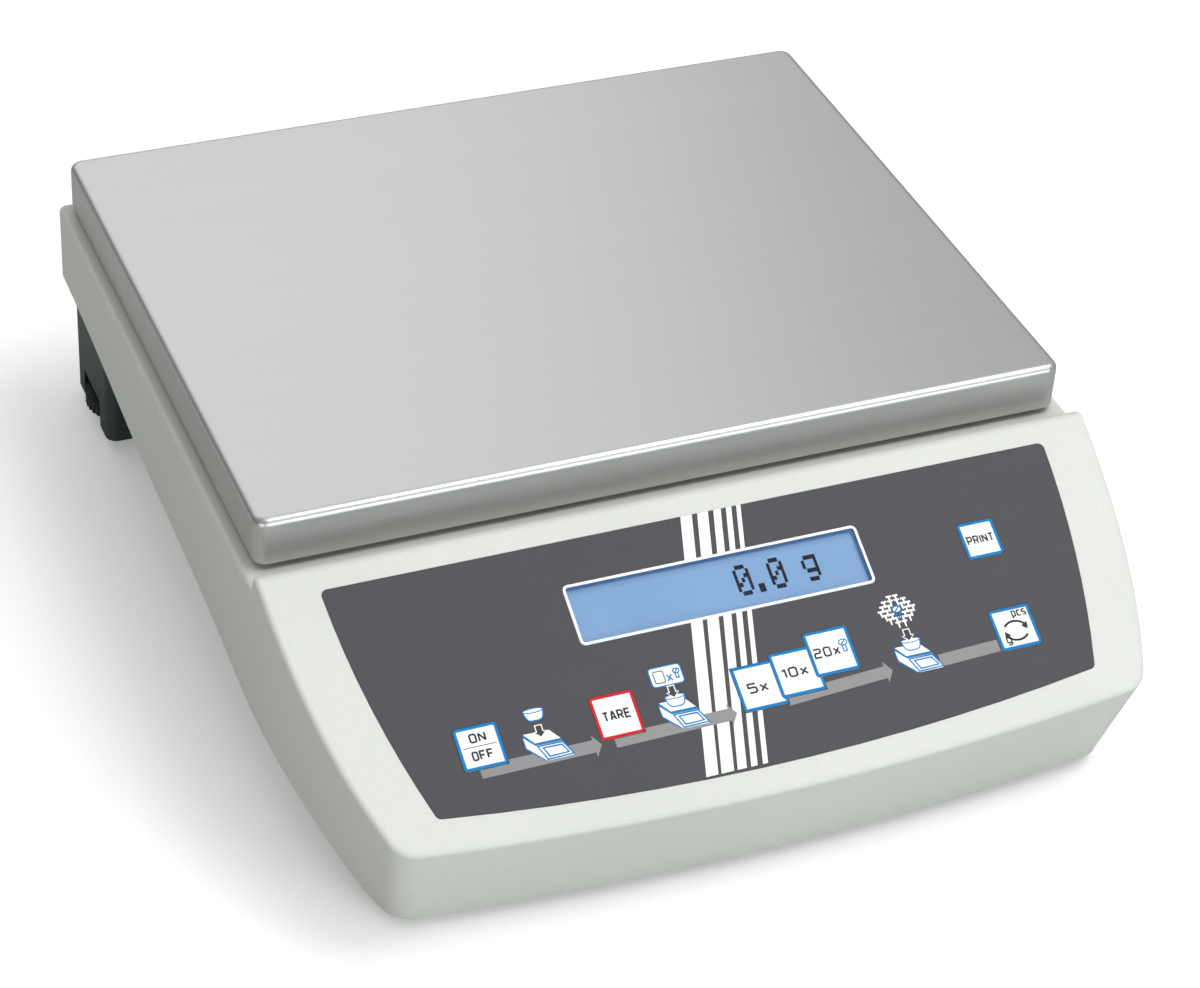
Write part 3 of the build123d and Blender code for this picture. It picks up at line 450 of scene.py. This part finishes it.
class Print:
    """Slabs of ink gathered into one mesh, standing just above one level of the panel."""

    def __init__(self, name, base):
        self.name = name
        self.base = base
        self.bm = bmesh.new()
        self.inks = []

    def ink_index(self, colour):
        if colour not in self.inks:
            self.inks.append(colour)
        return self.inks.index(colour)

    def vertex(self, point, height):
        return self.bm.verts.new(Vector((point[0], -point[1], height)) * MM)

    def slab(self, rows, faces, colour, lift, root=ROOT):
        """Top and bottom faces over the given points, and walls round their outer edges."""
        index = self.ink_index(colour)
        heights = (self.base - root, self.base + LAYER * (1 + lift))
        low, high = ([self.vertex(p, h) for p in rows] for h in heights)
        edges = {}
        for face in faces:
            for a, b in zip(face, face[1:] + face[:1]):
                edges[(a, b)] = edges.get((b, a), 0) == 0 and (a, b) not in edges
                if (b, a) in edges:
                    edges[(a, b)] = edges[(b, a)] = False
        made = [self.bm.faces.new([high[i] for i in face]) for face in faces]
        made += [self.bm.faces.new([low[i] for i in reversed(face)]) for face in faces]
        rim = [edge for edge, outer in edges.items() if outer]
        made += [self.bm.faces.new((high[b], high[a], low[a], low[b])) for a, b in rim]
        for face in made:
            face.material_index = index

    def area(self, outline, colour, lift=0.0):
        self.slab(outline, [list(range(len(outline)))], colour, lift)

    def line(self, points, width, colour, lift=0.0, closed=False, root=ROOT):
        """A stroke of even width along points, with mitred corners."""
        count = len(points)
        rows = []
        for i, (x, s) in enumerate(points):
            before = points[i - 1] if closed or i else None
            after = points[(i + 1) % count] if closed or i < count - 1 else None
            ways = [self.way(before, (x, s))] if before else []
            ways += [self.way((x, s), after)] if after else []
            nx = sum(-w[1] for w in ways) / len(ways)
            ns = sum(w[0] for w in ways) / len(ways)
            grow = width / 2 / max(SHARPEST_MITRE, nx * nx + ns * ns)
            rows += [(x + nx * grow, s + ns * grow), (x - nx * grow, s - ns * grow)]
        last = count if closed else count - 1
        faces = []
        for i in range(last):
            j = (i + 1) % count
            faces.append([2 * i, 2 * i + 1, 2 * j + 1, 2 * j])
        self.slab(rows, faces, colour, lift, root)

    @staticmethod
    def way(a, b):
        run = math.hypot(b[0] - a[0], b[1] - a[1])
        return ((b[0] - a[0]) / run, (b[1] - a[1]) / run)

    def done(self, body):
        bmesh.ops.recalc_face_normals(self.bm, faces=self.bm.faces)
        mesh = bpy.data.meshes.new(self.name)
        self.bm.to_mesh(mesh)
        self.bm.free()
        mesh.transform(PANEL)
        for colour in self.inks:
            mesh.materials.append(INKS[colour])
        piece = bpy.data.objects.new(self.name, mesh)
        bpy.context.scene.collection.objects.link(piece)
        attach(piece, body)


# ---------- lettering: square strokes on a grid 4 wide and 6 high ----------

ROUND = [(0.8, 0), (0, 0.8), (0, 5.2), (0.8, 6), (3.2, 6), (4, 5.2), (4, 0.8), (3.2, 0), (0.8, 0)]
GLYPHS = {
    "A": [[(0, 0), (1.6, 5.9), (2.4, 5.9), (4, 0)], [(0.7, 1.9), (3.3, 1.9)]],
    "E": [[(4, 6), (0, 6), (0, 0), (4, 0)], [(0, 3.1), (3.6, 3.1)]],
    "F": [[(4, 6), (0, 6), (0, 0)], [(0, 3.0), (3.5, 3.0)]],
    "I": [[(0, 0), (0, 6)]],
    "N": [[(0, 0), (0, 6)], [(0.15, 5.8), (3.85, 0.2)], [(4, 0), (4, 6)]],
    "O": [ROUND],
    "P": [[(0, 0), (0, 6), (3.2, 6), (4, 5.2), (4, 3.4), (3.2, 2.6), (0, 2.6)]],
    "R": [[(0, 0), (0, 6), (3.2, 6), (4, 5.2), (4, 3.6), (3.2, 2.8), (0, 2.8)], [(2.2, 2.8), (4, 0)]],
    "T": [[(0, 6), (4, 6)], [(2, 6), (2, 0)]],
    "0": [ROUND],
    "1": [[(0, 4.6), (1.3, 5.9)], [(1.5, 6), (1.5, 0)]],
    "2": [[(0, 6), (3.2, 6), (4, 5.2), (4, 3.9), (3.2, 3.1), (0.8, 3.1), (0, 2.3), (0, 0), (4, 0)]],
    "5": [[(4, 6), (0, 6), (0, 3.5), (3.2, 3.5), (4, 2.7), (4, 0.8), (3.2, 0), (0, 0)]],
    "x": [[(0, 0), (3.4, 4.2)], [(0, 4.2), (3.4, 0)]],
    "c": [[(3.2, 4.2), (0.6, 4.2), (0, 3.6), (0, 0.6), (0.6, 0), (3.2, 0)]],
    "g": [[(3.2, 0), (0.6, 0), (0, 0.6), (0, 3.6), (0.6, 4.2), (3.2, 4.2), (3.2, -1.2), (2.6, -1.8),
           (0.2, -1.8)]],
    "p": [[(0, -1.8), (0, 4.2), (2.6, 4.2), (3.2, 3.6), (3.2, 0.6), (2.6, 0), (0, 0)]],
    "s": [[(3.2, 4.2), (0.6, 4.2), (0, 3.6), (0, 2.6), (0.6, 2.1), (2.6, 2.1), (3.2, 1.6), (3.2, 0.6),
           (2.6, 0), (0, 0)]],
}
GLYPH_GAP = 2.2
CAP_UNITS = 6
STROKE_LIFT = 0.25


def label(sheet, text, left, right, base, cap, weight):
    """Dark text that fills the width from left to right, standing on the line s = base."""
    widths = [max(x for stroke in GLYPHS[c] for x, _ in stroke) for c in text]
    wide = (right - left - weight) / (sum(widths) + GLYPH_GAP * (len(text) - 1))
    tall = (cap - weight) / CAP_UNITS
    x = left + weight / 2
    for letter, width in zip(text, widths):
        for i, stroke in enumerate(GLYPHS[letter]):
            closed = stroke[0] == stroke[-1]
            path = stroke[:-1] if closed else stroke
            points = [(x + gx * wide, base - weight / 2 - gy * tall) for gx, gy in path]
            sheet.line(points, weight, "text", STROKE_LIFT * i, closed)
        x += (width + GLYPH_GAP) * wide


# ---------- the foil's print ----------

# Each stripe's left and right edges along the foil's top, then along its bottom.
STRIPES = (
    (-6.2, -1.4, -32.1, -27.2),
    (0.9, 5.4, -25.9, -20.8),
    (7.7, 10.8, -19.3, -15.6),
    (13.0, 15.3, -13.8, -11.2),
    (17.4, 19.2, -9.0, -6.9),
)
STRIPE_END_S = 113.7
WINDOW_FLANGE = 3.0
BAR_HALF = 2.5
HEAD_HALF = 4.4
HEAD_LENGTH = 3.0
# Each arrow's start and tip across the panel, then how far down the panel each lies.
BARS = ((-114.7, -66.8, 92.3, 92.1), (-61.5, -11.8, 92.2, 91.8), (9.6, 54.5, 91.2, 88.9))
TOGGLE_BAR = (74.6, 100.4, 89.4, 88.6)
KEY_NODES = sorted(node for node in NODES if node.startswith("key_"))
KEY_CLEAR = 0.3


def key_rects():
    """The squares that the keys take up on the foil, with a clear edge."""
    return [(left - KEY_CLEAR, right + KEY_CLEAR, top - KEY_CLEAR, bottom + KEY_CLEAR)
            for left, right, top, bottom in map(span, KEY_NODES)]


def print_stripes(sheet):
    """Five leaning stripes that thin out to the right and run from the top edge to the bottom."""
    left, right, top, bottom = span("display_window")
    pane = (left + WINDOW_FLANGE, right - WINDOW_FLANGE, top + WINDOW_FLANGE, bottom - WINDOW_FLANGE)
    for top_left, top_right, low_left, low_right in STRIPES:
        outline = [(top_left, FOIL_TOP_S), (top_right, FOIL_TOP_S),
                   (low_right, STRIPE_END_S), (low_left, STRIPE_END_S)]
        for piece in around([outline], [pane] + key_rects()):
            sheet.area(piece, "white")


def print_bars(sheet):
    """Broad grey arrows that lead from key to key, over the stripes."""
    rects = key_rects()
    for start, tip, start_s, tip_s in BARS:
        neck = tip - HEAD_LENGTH
        neck_s = start_s + (tip_s - start_s) * (neck - start) / (tip - start)
        shaft = [(start, start_s - BAR_HALF), (neck, neck_s - BAR_HALF),
                 (neck, neck_s + BAR_HALF), (start, start_s + BAR_HALF)]
        head = [(neck, neck_s - HEAD_HALF), (tip, tip_s), (neck, neck_s + HEAD_HALF)]
        for piece in around([shaft, head], rects):
            sheet.area(piece, "bar", 1)
    start, end, start_s, end_s = TOGGLE_BAR
    sheet.area([(start, start_s - BAR_HALF), (end, end_s - BAR_HALF),
                (end, end_s + BAR_HALF), (start, start_s + BAR_HALF)], "bar", 1)


FINE = 0.4
THIN = 0.5
EDGE_LINE = 0.55
FRAME_LINE = 0.65
RIM_LINE = 0.8


def draw_scale(sheet, x, s):
    """A small oblique drawing of a scale; (x, s) is the left corner of its platform."""
    side = [(-0.5, 1.0), (3.4, 5.0), (3.9, 5.6), (6.2, 11.6), (5.2, 11.2), (-0.5, 5.6)]
    front = [(3.6, 5.3), (14.0, 5.4), (16.9, 11.2), (16.2, 11.8), (6.2, 11.8)]
    plate = [(0.0, 0.0), (10.2, 0.2), (13.5, 4.3), (3.3, 4.2)]
    sheet.area(moved(side, x, s), "white", 2.0)
    sheet.area(moved(front, x, s), "white", 2.2)
    housing_edges = [[(-0.5, 5.6), (-0.5, 1.0), (3.4, 5.0)], [(-0.5, 5.6), (5.2, 11.4)]]
    front_frame = [(4.0, 5.7), (13.9, 5.8), (16.6, 11.2), (6.4, 11.4)]
    panel_frame = [(5.9, 6.7), (13.2, 6.8), (15.0, 10.2), (7.4, 10.4)]
    for path in housing_edges:
        sheet.line(moved(path, x, s), EDGE_LINE, "blue", 2.6)
    sheet.area(moved(plate, x, s), "white", 3.0)
    sheet.line(moved([(-0.2, 0.5), (3.3, 4.7), (13.9, 4.8)], x, s), RIM_LINE, "blue", 3.4)
    sheet.line(moved(front_frame, x, s), FRAME_LINE, "blue", 2.8, True)
    sheet.line(moved(panel_frame, x, s), FRAME_LINE, "blue", 3.2, True)


def oval(x, s, wide, tall, steps=18):
    angles = [2 * math.pi * i / steps for i in range(steps)]
    return [(x + wide * math.cos(a), s + tall * math.sin(a)) for a in angles]


def draw_bowl(sheet, x, s):
    """A white tapered bowl, 8 mm wide, with its rim and foot outlined in blue."""
    body = [(-3.9, 0.3), (3.9, 0.3), (3.3, 2.6), (2.6, 3.6), (1.6, 4.0), (-1.6, 4.0), (-2.6, 3.6),
            (-3.3, 2.6)]
    rim = oval(x, s, 4.0, 0.85)
    sheet.area(moved(body, x, s), "white", 4.0)
    sheet.line(moved(body[1:] + body[:1], x, s), THIN, "blue", 4.4)
    sheet.area(rim, "white", 4.8)
    sheet.line(rim, FINE, "blue", 5.2, True)


def draw_arrow(sheet, x, s):
    """An outlined arrow that points down the panel."""
    path = [(-1.3, 0.0), (1.3, 0.0), (1.3, 2.6), (2.4, 2.6), (0.0, 5.0), (-2.4, 2.6), (-1.3, 2.6)]
    sheet.area(moved(path, x, s), "foil", 6.0)
    sheet.line(moved(path, x, s), FINE, "white", 6.4, True)


def draw_screw(sheet, x, s, size, lift=1.0):
    """A screw's round slashed head over the outline of its shaft."""
    head = oval(x, s, size, 0.72 * size, 14)
    slash = [(-0.5, 0.45), (0.5, -0.45)]
    shaft = [(-0.42, 0.8), (-0.42, 2.2), (0.42, 2.2), (0.42, 0.8)]
    sheet.area(head, "white", lift)
    sheet.line(head, THIN, "blue", lift + 0.4, True)
    sheet.line([(x + px * size, s + ps * size) for px, ps in slash], THIN, "blue", lift + 0.8)
    sheet.line([(x + px * size, s + ps * size) for px, ps in shaft], THIN, "blue", lift + 0.4)


def draw_loose_screw(sheet, x, s):
    """A plain screw standing on its tip."""
    shaft = [(-0.45, 0.3), (0.45, 0.3), (0.25, 2.5), (-0.25, 2.5)]
    sheet.line([(x - 1.15, s), (x + 1.15, s)], 0.8, "white", 1.0)
    sheet.area(moved(shaft, x, s), "white", 1.3)


PILE_ROWS = (2, 4, 5, 6, 5, 4, 2)
PILE_PITCH = (2.75, 1.85)
PILE_AT = (65.3, 65.8)
PICKED_SIZE = 1.8
PICKED_CLEAR = 1.4 * PICKED_SIZE


def draw_pile(sheet):
    """A heap of loose screws in staggered rows round the one that is picked out in blue."""
    for row, count in enumerate(PILE_ROWS):
        for i in range(count):
            across = (i - (count - 1) / 2) * PILE_PITCH[0]
            down = (row - (len(PILE_ROWS) - 1) / 2) * PILE_PITCH[1]
            if math.hypot(across, down) > PICKED_CLEAR:
                draw_loose_screw(sheet, PILE_AT[0] + across, PILE_AT[1] + down - 1.0)
    draw_screw(sheet, PILE_AT[0], PILE_AT[1] - 0.8, PICKED_SIZE, 2.0)


def draw_card(sheet):
    """A card that stands for one counted lot: an empty box, a times sign and a screw."""
    card = rounded_rect(-40.2, -27.2, 67.2, 75.0, 1.4)
    box = rounded_rect(-38.6, -34.6, 68.8, 73.6, 0.6, 2)
    sheet.area(card, "white", 1.0)
    sheet.line(card, THIN, "blue", 1.4, True)
    sheet.line(box, FINE, "text", 1.8, True)
    for i, (low, high) in enumerate(((73.5, 70.9), (70.9, 73.5))):
        sheet.line([(-33.6, low), (-31.6, high)], 0.6, "blue", 1.8 + 0.3 * i)
    draw_screw(sheet, -29.4, 69.9, 1.3, 2.0)


# Where the scale, the bowl and the arrow of each step of counting stand: an empty bowl, one
# counted lot, and the whole heap.
STEPS = (
    ((-94.8, 81.7), (-88.3, 73.2), (-88.2, 79.2)),
    ((-40.1, 81.3), (-33.3, 79.9), (-33.5, 75.5)),
    ((58.6, 80.4), (65.9, 78.7), (65.7, 73.9)),
)


def print_icons(sheet):
    for scale_at, bowl_at, arrow_at in STEPS:
        draw_scale(sheet, *scale_at)
        draw_bowl(sheet, *bowl_at)
        draw_arrow(sheet, *arrow_at)
    draw_card(sheet)
    draw_pile(sheet)


def print_foil():
    sheet = Print("foil_print", 0.0)
    print_stripes(sheet)
    print_bars(sheet)
    print_icons(sheet)
    sheet.done("base")


# ---------- the keys' print ----------

BORDER = 1.15
BORDER_OVERHANG = 0.03
CORNER_R = 0.8
KEY_CHAMFER = 0.24
COVERED_BY = {"key_count_5x": "key_count_10x", "key_count_10x": "key_count_20x"}


def border_path(node):
    """The centre line of a key's border; open where the next key lies over its corner."""
    left, right, top, bottom = span(node)
    half = BORDER / 2 - BORDER_OVERHANG
    edge = rounded_rect(left + half, right - half, top + half, bottom - half, CORNER_R)
    if node not in COVERED_BY:
        return edge, True
    cover_left, _, _, cover_bottom = span(COVERED_BY[node])
    start = (right - half, cover_bottom + KEY_CLEAR)
    end = (cover_left - KEY_CLEAR, top + half)
    return [start, *edge[CORNER_STEPS + 1:], end], False


def middle(node):
    left, right, top, bottom = span(node)
    return (left + right) / 2, (top + bottom) / 2


def low_corner(node):
    left, _, _, bottom = span(node)
    return left, bottom


# Each key's words: the point that they are measured from, then for each word the text, its left
# and right ends, the line that it stands on, its height and the width of its strokes.
KEY_WORDS = {
    "key_on_off": (middle, (("ON", -3.3, 3.3, -1.9, 3.8, 0.72), ("OFF", -4.2, 4.2, 5.1, 3.8, 0.72))),
    "key_tare": (middle, (("TARE", -5.6, 5.6, 1.9, 4.0, 0.72),)),
    "key_print": (middle, (("PRINT", -5.9, 5.9, 1.8, 3.7, 0.64),)),
    "key_count_5x": (low_corner, (("5x", 4.1, 12.4, -6.7, 4.3, 0.75),)),
    "key_count_10x": (low_corner, (("10x", 2.8, 13.6, -7.4, 4.2, 0.75),)),
    "key_count_20x": (low_corner, (("20x", 1.8, 12.8, -7.2, 4.2, 0.72),)),
    "key_unit_toggle": (middle, (("pcs", 0.6, 6.9, -4.3, 3.7, 0.6), ("g", -5.6, -3.2, 6.0, 3.6, 0.6))),
}
RULE_HALF = 6.6
RULE_WIDTH = 0.28
TURN_R = 5.0
TURN_SQUASH = 0.8
TURN_SWEEP = 116
TURN_DROP = 1.3
TURN_WIDTH = 0.9
TURN_STARTS = (35, 215)
TURN_HEAD_HALF = 1.7
TURN_HEAD_REACH = 34
TURN_HEAD_OVERLAP = 4


def draw_rule(sheet):
    """The line between ON and OFF."""
    x, s = middle("key_on_off")
    sheet.line([(x - RULE_HALF, s - 0.4), (x + RULE_HALF, s - 0.4)], RULE_WIDTH, "text")


def draw_count_screw(sheet):
    """The screw beside the figure on the last of the counting keys."""
    left, _, top, _ = span("key_count_20x")
    draw_screw(sheet, left + 14.9, top + 6.6, 1.7, 0.4)


def draw_turn(sheet):
    """The arrows that circle between the two units."""
    x, s = middle("key_unit_toggle")
    s += TURN_DROP
    for start in TURN_STARTS:
        ring = arc(0, 0, TURN_R, start, start + TURN_SWEEP)
        sheet.line([(x + px, s + ps * TURN_SQUASH) for px, ps in ring], TURN_WIDTH, "text")
        end = math.radians(start + TURN_SWEEP - TURN_HEAD_OVERLAP)
        tip = math.radians(start + TURN_SWEEP + TURN_HEAD_REACH)
        corners = ((TURN_R - TURN_HEAD_HALF, end), (TURN_R + TURN_HEAD_HALF, end), (TURN_R, tip))
        head = [(x + r * math.cos(a), s + r * math.sin(a) * TURN_SQUASH) for r, a in corners]
        sheet.area(head, "text", 0.3)


KEY_MARKS = {"key_on_off": draw_rule, "key_count_20x": draw_count_screw, "key_unit_toggle": draw_turn}


def print_key(node):
    sheet = Print(node + "_print", level(node))
    path, closed = border_path(node)
    sheet.line(path, BORDER, "red" if node == "key_tare" else "blue", 0.0, closed, KEY_CHAMFER)
    origin, words = KEY_WORDS[node]
    x, s = origin(node)
    for text, left, right, base, cap, weight in words:
        label(sheet, text, x + left, x + right, s + base, cap, weight)
    if node in KEY_MARKS:
        KEY_MARKS[node](sheet)
    sheet.done(node + "_cap")


# ---------- the display ----------

DOTS = {
    "0": (".###.", "#...#", "#..##", "#.#.#", "##..#", "#...#", ".###."),
    "dot": (".....", ".....", ".....", ".....", ".....", ".##..", ".##.."),
    "g": (".....", ".####", "#...#", "#...#", ".####", "....#", ".###."),
}
CELL_PITCH = 7.1
DOT_PITCH = (1.30, 1.86)
DOT_SIZE = (1.27, 1.83)
READING = (("0", 0), ("dot", 1), ("0", 2), ("g", 4))
READING_AT = (7.0, 32.6)
RING_INSET = 0.65
RING_WIDTH = 1.1
RING_R = 1.7


def print_reading():
    """The reading on the display in dot-matrix figures."""
    sheet = Print("display_reading", level("lcd_glass"))
    for name, cell in READING:
        for row, dots in enumerate(DOTS[name]):
            for column, dot in enumerate(dots):
                if dot == "#":
                    x = READING_AT[0] + cell * CELL_PITCH + column * DOT_PITCH[0]
                    s = READING_AT[1] + row * DOT_PITCH[1]
                    sheet.area([(x, s), (x + DOT_SIZE[0], s), (x + DOT_SIZE[0], s + DOT_SIZE[1]),
                                (x, s + DOT_SIZE[1])], "segment")
    sheet.done("base")


def print_window_ring():
    """The white line round the edge of the display's pane."""
    left, right, top, bottom = span("display_window")
    inset = WINDOW_FLANGE + RING_INSET
    sheet = Print("window_ring", level("display_window"))
    path = rounded_rect(left + inset, right - inset, top + inset, bottom - inset, RING_R)
    sheet.line(path, RING_WIDTH, "white", 0.0, True)
    sheet.done("base")


print_foil()
for key_node in KEY_WORDS:
    print_key(key_node)
print_reading()
print_window_ring()


# ---------- floor, light and camera ----------

PAPER_TONE = (0.92, 0.92, 0.92)
PAPER_TONE_IN_LIGHT = (0.50, 0.51, 0.49)
PAPER_GLOW = 0.24


def studio_paper():
    """White paper that gives the object less light than it shows to the camera."""
    paper = plain("studio_paper", PAPER_TONE, 0.8, grain=400.0, mottle=0.01, specular=0.1)
    shader = next(n for n in paper.node_tree.nodes if n.type == "BSDF_PRINCIPLED")
    seen = add(paper, "ShaderNodeLightPath").outputs["Is Camera Ray"]
    link(paper, mixed(paper, seen, PAPER_TONE_IN_LIGHT, PAPER_TONE), shader.inputs["Base Color"])
    shader.inputs["Emission Color"].default_value = (1, 1, 1, 1)
    link(paper, maths(paper, "MULTIPLY", seen, PAPER_GLOW), shader.inputs["Emission Strength"])
    return paper


def floor():
    """A wide pale sheet under the feet."""
    bm = bmesh.new()
    bmesh.ops.create_grid(bm, x_segments=8, y_segments=8, size=6.0)
    mesh = bpy.data.meshes.new("floor")
    bm.to_mesh(mesh)
    bm.free()
    ground = bpy.data.objects.new("floor", mesh)
    ground.location.z = CAD_BOX[0][2] - 0.0001
    bpy.context.scene.collection.objects.link(ground)
    mesh.materials.append(studio_paper())


def area_light(name, place, target, size, power, colour=(1, 1, 1)):
    data = bpy.data.lights.new(name, "AREA")
    data.shape = "RECTANGLE"
    data.size, data.size_y = size
    data.energy = power
    data.color = colour
    lamp = bpy.data.objects.new(name, data)
    lamp.location = place
    lamp.rotation_euler = (Vector(target) - Vector(place)).to_track_quat("-Z", "Y").to_euler()
    bpy.context.scene.collection.objects.link(lamp)


def surroundings(horizon, zenith, left_share=0.45):
    """Soft daylight that brightens from the horizon to overhead and falls off to the left."""
    world = bpy.data.worlds.new("studio")
    world.use_nodes = True
    back = world.node_tree.nodes["Background"]
    coords = add(world, "ShaderNodeTexCoord")
    parts = add(world, "ShaderNodeSeparateXYZ")
    link(world, coords.outputs["Generated"], parts.inputs[0])
    sky = mixed(world, ranged(world, parts.outputs["Z"], 0.0, 1.0, 0.0, 0.9), horizon, zenith)
    link(world, sky, back.inputs["Color"])
    link(world, ranged(world, parts.outputs["X"], left_share, 1.0, -0.9, 0.1), back.inputs["Strength"])
    bpy.context.scene.world = world


def camera(eye, azimuth, elevation, roll, lens):
    data = bpy.data.cameras.new("camera")
    data.lens = lens
    data.sensor_width = 36.0
    data.clip_start = 0.01
    data.clip_end = 50
    view = bpy.data.objects.new("camera", data)
    turn = Matrix.Rotation(math.radians(azimuth), 4, "Z")
    tilt = Matrix.Rotation(math.radians(90 - elevation), 4, "X")
    view.matrix_world = Matrix.Translation(eye) @ turn @ tilt @ Matrix.Rotation(math.radians(roll), 4, "Z")
    bpy.context.scene.collection.objects.link(view)
    bpy.context.scene.camera = view


floor()
surroundings((0.40, 0.41, 0.40), (0.60, 0.61, 0.61))
area_light("key_right", (0.9, -0.4, 2.2), (0, 0, 0.05), (1.2, 1.2), 25, (1.0, 0.99, 0.98))
area_light("back_left", (-0.2, 2.4, 2.0), (0, 0.05, 0.1), (3.2, 2.2), 16.5)
area_light("front_fill", (0.6, -2.5, 0.8), (0, -0.1, 0.05), (2.0, 1.2), 24, (0.94, 0.975, 1.0))
area_light("left_fill", (-1.7, -1.7, 0.6), (0, 0, 0.05), (1.4, 1.0), 11, (1.0, 1.0, 0.93))
camera((-0.4607, -1.0188, 0.8892), -24.42, 37.14, 3.94, 100.9)
bpy.context.scene.view_settings.view_transform = "Standard"
